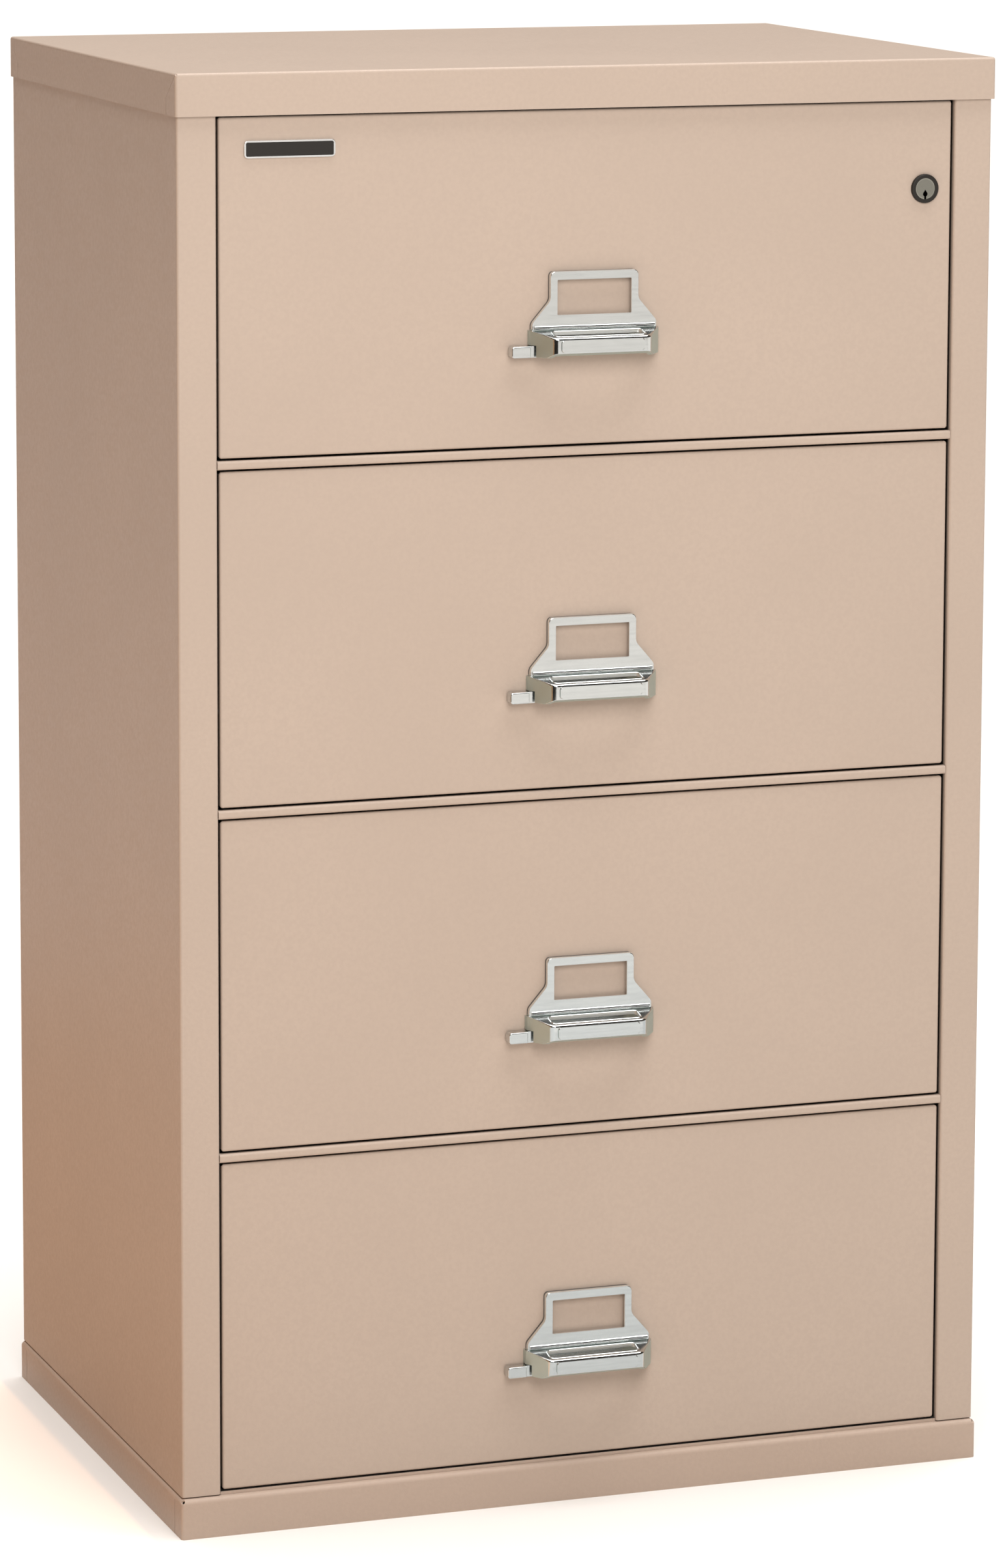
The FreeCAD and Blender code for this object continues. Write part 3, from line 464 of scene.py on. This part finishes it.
def casting_material(name, satin_sides):
    """Plated casting: polished edges, brushed front faces and, on the handles, satin parts with some painted
    light and painted reflection.
    """
    material, tree, shader = new_material(name)
    where = object_coordinates(tree)
    facing = vector_parts(tree, tree.nodes.new("ShaderNodeTexCoord").outputs["Normal"])
    grain = noise(tree, stretched(tree, where, (0.05, 1.0, 1.0)), scale=1400.0, detail=4.0, roughness=0.6)
    strokes = noise(tree, stretched(tree, where, (0.07, 1.0, 1.0)), scale=380.0, detail=3.0)
    smudge = noise(tree, where, scale=60.0, detail=3.0)
    streaks = mix_colours(tree, from_noise(tree, grain, 0.0, 1.0), darker(CHROME, 0.97), darker(CHROME, 1.05))
    marks = remap(tree, strokes, low=0.42, high=0.72, to_low=0.0, to_high=0.7)
    streaks = mix_colours(tree, marks, streaks, darker(CHROME, 0.87))
    brushed = ramp(tree, facing[1], BRUSHED_FROM, BRUSHED_FULL)
    tone = mix_colours(tree, brushed, CHROME, streaks)
    gloss = mix_values(tree, brushed, from_noise(tree, smudge, *POLISHED), from_noise(tree, grain, *BRUSHED))
    web = ramp(tree, facing[2], WEB_FROM, WEB_FULL)
    gloss = mix_values(tree, web, gloss, from_noise(tree, smudge, *WEB))
    if satin_sides:
        tone, gloss = add_satin_and_painted_light(tree, where, facing, smudge, tone, gloss)
    stains = remap(tree, smudge, low=0.45, high=0.75, to_low=0.0, to_high=0.10)
    tone = mix_colours(tree, stains, tone, darker(CHROME, 0.7))
    shader.inputs["Metallic"].default_value = 1.0
    connect(tree, shader, tone, gloss, bump(tree, grain, strength=0.04, distance=0.0001))
    return material


def lock_disc_material():
    """Satin nickel disc with a lighter rim, and painted shade inside the keyway."""
    material, tree, shader = new_material("satin_nickel")
    where = object_coordinates(tree)
    grain = noise(tree, stretched(tree, where, (0.2, 1.0, 1.0)), scale=700.0, detail=4.0, roughness=0.6)
    x, y, z = vector_parts(tree, where)
    squares = []
    for part, centre in ((x, LOCK_X), (z, LOCK_Z)):
        away = math_node(tree, "SUBTRACT", part, centre)
        squares.append(math_node(tree, "MULTIPLY", away, away))
    radius = math_node(tree, "SQRT", math_node(tree, "ADD", *squares))
    tone = mix_colours(tree, grain, darker(NICKEL, 0.90), NICKEL)
    tone = mix_colours(tree, ramp(tree, radius, LOCK_RIM_START, LOCK_RIM_END), tone, darker(NICKEL, 1.45))
    # Painted shade inside the keyway
    keyway_shade = all_of(tree, ramp(tree, y, KEYWAY_START, KEYWAY_DARK), math_node(tree, "LESS_THAN", y, KEYWAY_END))
    tone = mix_colours(tree, keyway_shade, tone, PAINTED_SHADE)
    shader.inputs["Metallic"].default_value = 1.0
    connect(tree, shader, tone, from_noise(tree, grain, *LOCK_SATIN),
            bump(tree, grain, strength=0.06, distance=0.0001))
    return material


def plaster_material():
    """Cast plaster; its front edge below the lowest drawer carries the plinth's shaded paint at the bottom
    and painted shade above.
    """
    material, tree, shader = new_material("cast_plaster")
    where = object_coordinates(tree)
    grit = noise(tree, where, scale=300.0, detail=6.0, roughness=0.7)
    _, y, z = vector_parts(tree, where)
    tone = mix_colours(tree, grit, PLASTER_DARK, PLASTER_LIGHT)
    # Front edge: painted shade above the painted edge height, the plinth's darker shaded paint below it
    front_edge = mix_colours(tree, math_node(tree, "LESS_THAN", z, PAINTED_EDGE), PAINTED_SHADE, SHADED_BASE_PAINT)
    tone = mix_colours(tree, math_node(tree, "LESS_THAN", y, GAP_BACK), tone, front_edge)
    tree.links.new(tone, shader.inputs["Base Color"])
    shader.inputs["Roughness"].default_value = PLASTER_ROUGHNESS
    tree.links.new(bump(tree, grit, strength=0.5, distance=0.001), shader.inputs["Normal"])
    return material


def bezel_material():
    """Black lacquer with a little dust."""
    material, tree, shader = new_material("black_bezel_lacquer")
    dust = noise(tree, object_coordinates(tree), scale=900.0, detail=3.0)
    tree.links.new(mix_colours(tree, dust, LACQUER_DARK, LACQUER_LIGHT), shader.inputs["Base Color"])
    tree.links.new(from_noise(tree, dust, *LACQUER), shader.inputs["Roughness"])
    shader.inputs["Specular IOR Level"].default_value = LACQUER_SPECULAR
    return material


MATERIALS = {
    # The cabinet's paint turns near black inside the gaps: painted shade
    "tan_paint": paint_material("tan_enamel", PAINT, gap_shade=PAINTED_SHADE),
    "inner_paint": paint_material("inner_enamel", darker(PAINT, 0.92), INNER_ROUGHNESS),
    "poured_insulation": plaster_material(),
    "zinc_steel": metal_material("zinc_plated_steel", ZINC, roughness=0.32, scale=180.0, marks=0.12,
                                 stretch=(1.0, 0.1, 1.0)),
    "polished_chrome": casting_material("plated_casting", satin_sides=True),
    "black_bezel": bezel_material(),
    "satin_lock": lock_disc_material(),
    "badge_metal": metal_material("badge_aluminium", ALUMINIUM, roughness=0.22, scale=600.0, marks=0.08,
                                  stretch=(0.1, 1.0, 1.0)),
}
# The drawer fronts carry a dark brown painted shade on their flanges inside the gaps
FRONT_ENAMEL = paint_material("front_enamel", PAINT, gap_shade=FLANGE_SHADE)
# The plinth takes a darker copy of the paint: painted shade near the floor
SHADED_BASE_ENAMEL = paint_material("base_enamel_in_shade", SHADED_BASE_PAINT)
PLATED_LATCH = casting_material("plated_latch", satin_sides=False)


# ---- Mesh helpers: outlines and solids are given in millimetres ----

def arc(centre, radius, start, end, steps=8):
    """Points round an arc; angles in degrees, from +X towards the second axis."""
    points = []
    for index in range(steps + 1):
        angle = math.radians(start + (end - start) * index / steps)
        points.append((centre[0] + radius * math.cos(angle), centre[1] + radius * math.sin(angle)))
    return points


def rounded_rectangle(x0, x1, y0, y1, radius, steps=8):
    """Outline with the same arc at all four corners."""
    corners = ((x1 - radius, y0 + radius, -90), (x1 - radius, y1 - radius, 0),
               (x0 + radius, y1 - radius, 90), (x0 + radius, y0 + radius, 180))
    points = []
    for x, y, start in corners:
        points += arc((x, y), radius, start, start + 90, steps)
    return points


def link(name, data):
    """A new object in the scene: a mesh, a light or the camera."""
    piece = bpy.data.objects.new(name, data)
    bpy.context.scene.collection.objects.link(piece)
    return piece


def to_object(name, solid):
    """Turn a bmesh solid into an object."""
    bmesh.ops.recalc_face_normals(solid, faces=solid.faces)
    mesh = bpy.data.meshes.new(name)
    solid.to_mesh(mesh)
    solid.free()
    return link(name, mesh)


def extrude_outline(points, along, start, end):
    """A bmesh solid: an outline pushed along Y (outline in X, Z) or along Z (outline in X, Y)."""
    solid = bmesh.new()
    loops = []
    for depth in (start, end):
        if along == "Y":
            loops.append([solid.verts.new((x * MM, depth * MM, z * MM)) for x, z in points])
        else:
            loops.append([solid.verts.new((x * MM, y * MM, depth * MM)) for x, y in points])
    solid.faces.new(loops[0])
    solid.faces.new(loops[1])
    count = len(points)
    for index in range(count):
        after = (index + 1) % count
        solid.faces.new((loops[0][index], loops[0][after], loops[1][after], loops[1][index]))
    return solid


def hull(points):
    """Convex solid round some points."""
    solid = bmesh.new()
    for point in points:
        solid.verts.new(Vector(point) * MM)
    bmesh.ops.convex_hull(solid, input=solid.verts)
    bmesh.ops.dissolve_limit(solid, angle_limit=math.radians(MERGE_ANGLE), verts=solid.verts,
                             edges=solid.edges)
    return solid


def round_edges(solid, test, radius, segments=4):
    """Round the edges that pass a test; the test gets the two ends in millimetres."""
    edges = []
    for edge in solid.edges:
        first, second = edge.verts
        if test(first.co / MM, second.co / MM):
            edges.append(edge)
    bmesh.ops.bevel(solid, geom=edges, offset=radius * MM, offset_type="OFFSET", segments=segments,
                    profile=0.5, affect="EDGES", clamp_overlap=True)


def apply_modifiers(piece):
    """Keep the shape that the modifiers give."""
    graph = bpy.context.evaluated_depsgraph_get()
    piece.data = bpy.data.meshes.new_from_object(piece.evaluated_get(graph))
    piece.modifiers.clear()


def combine(piece, tool, operation):
    """Join a tool to a piece, or take it away; the tool itself is removed."""
    modifier = piece.modifiers.new("combine", "BOOLEAN")
    modifier.operation = operation
    modifier.solver = "EXACT"
    modifier.object = tool
    apply_modifiers(piece)
    bpy.data.objects.remove(tool)


def finish_surface(piece):
    """Smooth shading with crisp flats."""
    mesh = piece.data
    mesh.polygons.foreach_set("use_smooth", [True] * len(mesh.polygons))
    mesh.set_sharp_from_angle(angle=math.radians(SHARP_ANGLE))
    modifier = piece.modifiers.new("crisp_flats", "WEIGHTED_NORMAL")
    modifier.keep_sharp = True
    modifier.weight = FLAT_WEIGHT
    apply_modifiers(piece)


def tube(name, points, radius, closed=True):
    """A round bar along a line of points in millimetres."""
    curve = bpy.data.curves.new(name, "CURVE")
    curve.dimensions = "3D"
    curve.bevel_depth = radius * MM
    curve.bevel_resolution = TUBE_STEPS
    curve.use_fill_caps = True
    spline = curve.splines.new("POLY")
    spline.points.add(len(points) - 1)
    for target, point in zip(spline.points, points):
        target.co = (*(Vector(point) * MM), 1.0)
    spline.use_cyclic_u = closed
    bar = link(name, curve)
    graph = bpy.context.evaluated_depsgraph_get()
    mesh = bpy.data.meshes.new_from_object(bar.evaluated_get(graph))
    bpy.data.objects.remove(bar)
    return link(name, mesh)


# ---- Handle: heights are above the lower edge of the drawer face, depths in front of it ----

def plate_outline():
    """Card plate: straight sides, a hollow shoulder on each side and rounded feet."""
    crown_x = SHOULDER_X - SHOULDER_CROWN
    hollow_x = PLATE_X + SHOULDER_HOLLOW
    right = arc((crown_x, RIDGE), SHOULDER_CROWN, 0, SHOULDER_TURN)
    right += arc((hollow_x, HOLLOW_Z), SHOULDER_HOLLOW, 180 + SHOULDER_TURN, 180)
    right += arc((PLATE_X - PLATE_CORNER, PLATE_TOP - PLATE_CORNER), PLATE_CORNER, 0, 90)
    left = [(-x, z) for x, z in reversed(right)]
    return right + left


def make_plate():
    """Card plate with its window, and a wider recess behind the thin edge round the window."""
    solid = extrude_outline(plate_outline(), "Y", -PLATE_PROUD, 0)
    round_edges(solid, lambda a, b: max(a.y, b.y) < HAIR - PLATE_PROUD and max(a.z, b.z) > RIDGE + HAIR,
                PLATE_EDGE)
    plate = to_object("card_plate", solid)
    outline = rounded_rectangle(-WINDOW_X, WINDOW_X, WINDOW_LOW, WINDOW_HIGH, WINDOW_CORNER, steps=3)
    window = extrude_outline(outline, "Y", -PLATE_PROUD - PAST, PAST)
    combine(plate, to_object("window", window), "DIFFERENCE")
    wide, low, high = WINDOW_X + POCKET_REACH, WINDOW_LOW - POCKET_REACH, WINDOW_HIGH + POCKET_REACH
    outline = rounded_rectangle(-wide, wide, low, high, WINDOW_CORNER, steps=3)
    pocket = extrude_outline(outline, "Y", WINDOW_LIP - PLATE_PROUD, PAST)
    combine(plate, to_object("pocket", pocket), "DIFFERENCE")
    return plate


def grip_corners(inset, front, back, bottom):
    """Corner points of the hood, or of the hollow inside it."""
    wall_x = GRIP_X - inset
    front_x = BAR_X - HOLLOW_TAPER * inset
    wall_top = GRIP_WALL_TOP - inset
    drop = GRIP_WALL_TOP - GRIP_FRONT_TOP
    front_top = wall_top - drop * (front + PLATE_PROUD) / (PLATE_PROUD - BAR_PROUD)
    points = []
    for side in (-1, 1):
        for z in (bottom, wall_top):
            points += [(side * wall_x, back, z), (side * wall_x, -PLATE_PROUD, z)]
        points.append((side * front_x, front, front_top))
    return points, front_x


def make_hood():
    """Outside of the hood: walls that run together to the bar, with a bevel under the bar."""
    points, front_x = grip_corners(0, -BAR_PROUD, 0, GRIP_LOW)
    run_x = front_x + (GRIP_X - BAR_X) * BEVEL_RUN / (BAR_PROUD - PLATE_PROUD)
    for side in (-1, 1):
        points.append((side * front_x, -BAR_PROUD, GRIP_LOW + BEVEL_RISE))
        points.append((side * run_x, -BAR_PROUD + BEVEL_RUN, GRIP_LOW))
    solid = hull(points)
    near = HAIR - BAR_PROUD
    round_edges(solid, lambda a, b: max(a.y, b.y) < near and abs(a.x - b.x) < HAIR, GRIP_CORNER,
                segments=5)
    near = GRIP_CORNER - BAR_PROUD
    bar_top = GRIP_FRONT_TOP - 2 * HAIR
    round_edges(solid, lambda a, b: max(a.y, b.y) < near and min(a.z, b.z) > bar_top, BAR_ROLL,
                segments=5)
    crease = math.radians(GRIP_CREASE)
    sharp = [edge for edge in solid.edges
             if min(vertex.co.y for vertex in edge.verts) < -MM and len(edge.link_faces) == 2
             and edge.calc_face_angle() > crease]
    bmesh.ops.bevel(solid, geom=sharp, offset=GRIP_EDGE * MM, offset_type="OFFSET", segments=3,
                    profile=0.5, affect="EDGES", clamp_overlap=True)
    return to_object("grip_hood", solid)


def web_height(y):
    """Height of the hood's sloping top at a depth."""
    return GRIP_WALL_TOP + (GRIP_WALL_TOP - GRIP_FRONT_TOP) * (y + PLATE_PROUD) / (BAR_PROUD - PLATE_PROUD)


def make_handle_mesh():
    """Polished casting: card plate, ridge bead, hooded grip with a rimmed slot, and a pad on its bar."""
    body = make_plate()
    shoulder_outline = rounded_rectangle(-SHOULDER_X, SHOULDER_X, -PLATE_PROUD, 0, SHOULDER_EDGE, steps=2)
    shoulder = extrude_outline(shoulder_outline, "Z", GRIP_WALL_TOP - SHOULDER_OVERLAP, RIDGE + HAIR)
    hood = make_hood()
    bar_back, bottom = BAR_THICK - BAR_PROUD, GRIP_LOW - PAST
    hollow_points, bar_x = grip_corners(WALL, bar_back, -BACKPLATE, bottom)
    for side in (-1, 1):
        hollow_points.append((side * bar_x, bar_back, bottom))
    combine(hood, to_object("hollow", hull(hollow_points)), "DIFFERENCE")
    slot_outline = rounded_rectangle(-SLOT_X, SLOT_X, -SLOT_FRONT, -SLOT_BACK, SLOT_CORNER)
    slot = extrude_outline(slot_outline, "Z", GRIP_LOW + SLOT_CUT_RISE, RIDGE)
    combine(hood, to_object("slot", slot), "DIFFERENCE")
    rim_outline = rounded_rectangle(-SLOT_X - RIM_OUT, SLOT_X + RIM_OUT, -SLOT_FRONT - RIM_OUT,
                                    -SLOT_BACK + RIM_OUT, SLOT_CORNER)
    rim = tube("slot_rim", [(x, y, web_height(y) - RIM_SINK) for x, y in rim_outline], RIM_RADIUS)
    reach = SHOULDER_X - BEAD_RADIUS
    bead = tube("ridge_bead", [(end, -PLATE_PROUD, RIDGE - BEAD_DROP) for end in (-reach, reach)],
                BEAD_RADIUS, closed=False)
    pad_outline = rounded_rectangle(-PAD_X, PAD_X, PAD_LOW, PAD_HIGH, PAD_CORNER, steps=5)
    pad_solid = extrude_outline(pad_outline, "Y", -BAR_PROUD - PAD_PROUD, -BAR_PROUD + PAST)
    near = HAIR - BAR_PROUD - PAD_PROUD
    round_edges(pad_solid, lambda a, b: max(a.y, b.y) < near, PAD_BEVEL, segments=3)
    for shell in (to_object("shoulder", shoulder), hood, rim, bead, to_object("pad", pad_solid)):
        combine(body, shell, "UNION")
    notch_left = -GRIP_X - NOTCH_PAST
    notch_outline = rounded_rectangle(notch_left, NOTCH_X, -NOTCH_PROUD, PAST, NOTCH_CORNER, steps=3)
    notch = extrude_outline(notch_outline, "Z", bottom, NOTCH_TOP)
    combine(body, to_object("notch", notch), "DIFFERENCE")
    shank_outline = rounded_rectangle(SHANK_LEFT, SHANK_RIGHT, SHANK_LOW, SHANK_HIGH, SHANK_CORNER, steps=2)
    shank_way = extrude_outline(shank_outline, "Y", -PLATE_PROUD, PAST)
    combine(body, to_object("shank_way", shank_way), "DIFFERENCE")
    finish_surface(body)
    return body


def make_handles():
    """One handle on each drawer, in place of the CAD handle."""
    pattern = make_handle_mesh()
    for number in DRAWERS:
        name = "drawer_%d_handle" % number
        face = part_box("drawer_%d_front" % number)
        handle = link("pull_handle_%d" % number, pattern.data.copy())
        handle.location = (0.0, face[0].y, face[0].z)
        handle.data.materials.clear()
        handle.data.materials.append(MATERIALS["polished_chrome"])
        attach(handle, "drawer_%d" % number)
        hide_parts(name)
    bpy.data.objects.remove(pattern)


# ---- Badge: a plain plate with a bright rim round a dark field ----

def make_badge():
    """Rim and field of the badge, in place of the CAD plate."""
    low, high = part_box("badge_plate")
    x0, x1 = low.x / MM, high.x / MM
    z0, z1 = low.z / MM, high.z / MM
    front, back = low.y / MM, high.y / MM
    rim_solid = extrude_outline(rounded_rectangle(x0, x1, z0, z1, BADGE_CORNER), "Y", front, back)
    round_edges(rim_solid, lambda a, b: max(a.y, b.y) < front + HAIR, BADGE_EDGE)
    rim = to_object("badge_rim", rim_solid)
    r, corner = BADGE_RIM, BADGE_CORNER - BADGE_RIM
    well = extrude_outline(rounded_rectangle(x0 + r, x1 - r, z0 + r, z1 - r, corner), "Y",
                           front - PAST, front + BADGE_WELL)
    combine(rim, to_object("badge_well", well), "DIFFERENCE")
    finish_surface(rim)
    gap = r + BADGE_GAP
    sunk = front + BADGE_FIELD_SINK
    field_solid = extrude_outline(rounded_rectangle(x0 + gap, x1 - gap, z0 + gap, z1 - gap, corner), "Y",
                                  sunk, front + BADGE_WELL)
    round_edges(field_solid, lambda a, b: max(a.y, b.y) < sunk + HAIR, BADGE_FIELD_SINK, segments=3)
    field = to_object("badge_field", field_solid)
    finish_surface(field)
    for piece, slot in ((rim, "badge_metal"), (field, "black_bezel")):
        piece.data.materials.clear()
        piece.data.materials.append(MATERIALS[slot])
        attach(piece, "drawer_1")
    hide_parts("badge_plate")


def dress_cad_nodes():
    """Give every CAD piece the material of its slot; three kinds of piece have one of their own."""
    slot_of = {part["node"]: part["material_slot"] for part in frame["record"]["subparts"]}
    # The plinth's darker paint is painted shade near the floor
    special = {"base_plinth": SHADED_BASE_ENAMEL}
    for number in DRAWERS:
        special["drawer_%d_front" % number] = FRONT_ENAMEL
        special["drawer_%d_thumb_latch" % number] = PLATED_LATCH
    for name, node in frame["nodes"].items():
        for slot in node.material_slots:
            slot.material = special.get(name, MATERIALS[slot_of[name]])


# ---- Stage ----

def level(x0, x1, y0, y1, z):
    """Corners of a level card."""
    return [(x0, y0, z), (x1, y0, z), (x1, y1, z), (x0, y1, z)]


def upright(first, last, low, high):
    """Corners of a card that stands on the line between two points."""
    return [(*first, low), (*last, low), (*last, high), (*first, high)]


def make_plane(name, corners, tone):
    """One flat card of paper; it is part of the stage and not of the cabinet."""
    mesh = bpy.data.meshes.new(name)
    mesh.from_pydata(corners, [], [(0, 1, 2, 3)])
    plane = link(name, mesh)
    material, tree, shader = new_material(name + "_paper")
    fibre = noise(tree, object_coordinates(tree), scale=3.0)
    tree.links.new(mix_colours(tree, fibre, darker(tone, 0.99), tone), shader.inputs["Base Color"])
    shader.inputs["Roughness"].default_value = PAPER_ROUGHNESS
    shader.inputs["Specular IOR Level"].default_value = PAPER_SPECULAR
    mesh.materials.append(material)
    return plane


def make_card(name, corners, tone, diffuse):
    """A card out of the camera's sight that casts no shadow; it may also be seen by glossy surfaces only."""
    card = make_plane(name, corners, tone)
    card.visible_camera = False
    card.visible_diffuse = diffuse
    card.visible_shadow = False


def make_stage():
    floor_z = CAD_BOX[0].z
    reach = FLOOR_REACH
    make_plane("studio_floor", level(-reach, reach, -reach, reach, floor_z), FLOOR_TONE)
    wall = upright((CARD_X, CARD_FRONT), (CARD_X, CARD_BACK), floor_z, CARD_TOP)
    make_card("side_card", wall, CARD_TONE, diffuse=True)
    low = floor_z + FLOOR_CARD_RISE
    beside = level(CARD_X, FLOOR_CARD_EDGE, FLOOR_CARD_FRONT, CARD_BACK, low)
    make_card("floor_card", beside, FLOOR_CARD_TONE, diffuse=True)
    make_card("front_card", level(*FRONT_CARD, floor_z + FRONT_CARD_RISE), FRONT_CARD_TONE, diffuse=False)
    make_card("dark_flag", upright(FLAG_FROM, FLAG_TO, FLAG_LOW, FLAG_HIGH), FLAG_TONE, diffuse=False)


def place_light(name, data, place, target):
    """A light at a place, turned towards a target."""
    lamp = link(name, data)
    lamp.location = place
    direction = Vector(target) - lamp.location
    lamp.rotation_euler = direction.to_track_quat("-Z", "Y").to_euler()


def make_lights():
    overhead = bpy.data.lights.new("overhead", "SUN")
    overhead.energy = SUN_STRENGTH
    overhead.angle = math.radians(SUN_SPREAD)
    place_light("overhead", overhead, SUN_PLACE, SUN_AIM)
    front_box = bpy.data.lights.new("front_box", "AREA")
    front_box.shape = "RECTANGLE"
    front_box.size, front_box.size_y = FRONT_BOX_SIZE
    front_box.energy = FRONT_POWER
    place_light("front_box", front_box, FRONT_BOX, FRONT_BOX_AIM)


def make_world():
    """A dim warm surround, seen as white where the camera looks past the floor."""
    world = bpy.data.worlds.new("studio")
    bpy.context.scene.world = world
    world.use_nodes = True
    tree = world.node_tree
    surround = tree.nodes["Background"]
    surround.inputs["Color"].default_value = (*SURROUND_TONE, 1.0)
    surround.inputs["Strength"].default_value = SURROUND
    backdrop = tree.nodes.new("ShaderNodeBackground")
    backdrop.inputs["Color"].default_value = (*BACKDROP_TONE, 1.0)
    backdrop.inputs["Strength"].default_value = 1.0
    path = tree.nodes.new("ShaderNodeLightPath")
    mix = tree.nodes.new("ShaderNodeMixShader")
    tree.links.new(path.outputs["Is Camera Ray"], mix.inputs["Fac"])
    tree.links.new(surround.outputs["Background"], mix.inputs[1])
    tree.links.new(backdrop.outputs["Background"], mix.inputs[2])
    tree.links.new(mix.outputs["Shader"], tree.nodes["World Output"].inputs["Surface"])


def make_camera():
    data = bpy.data.cameras.new("camera")
    data.sensor_width = SENSOR
    data.lens = LENS
    data.shift_y = CAMERA_SHIFT
    camera = link("camera", data)
    yaw = math.radians(CAMERA_YAW)
    pitch = math.radians(CAMERA_PITCH)
    forward = Vector((math.sin(yaw) * math.cos(pitch), math.cos(yaw) * math.cos(pitch), math.sin(pitch)))
    turn = forward.to_track_quat("-Z", "Y").to_matrix().to_4x4()
    roll = Matrix.Rotation(math.radians(CAMERA_ROLL), 4, "Z")
    camera.matrix_world = Matrix.Translation(CAMERA_PLACE) @ turn @ roll
    bpy.context.scene.camera = camera


dress_cad_nodes()
make_handles()
make_badge()
make_stage()
make_world()
make_lights()
make_camera()
bpy.context.scene.view_settings.view_transform = "Standard"
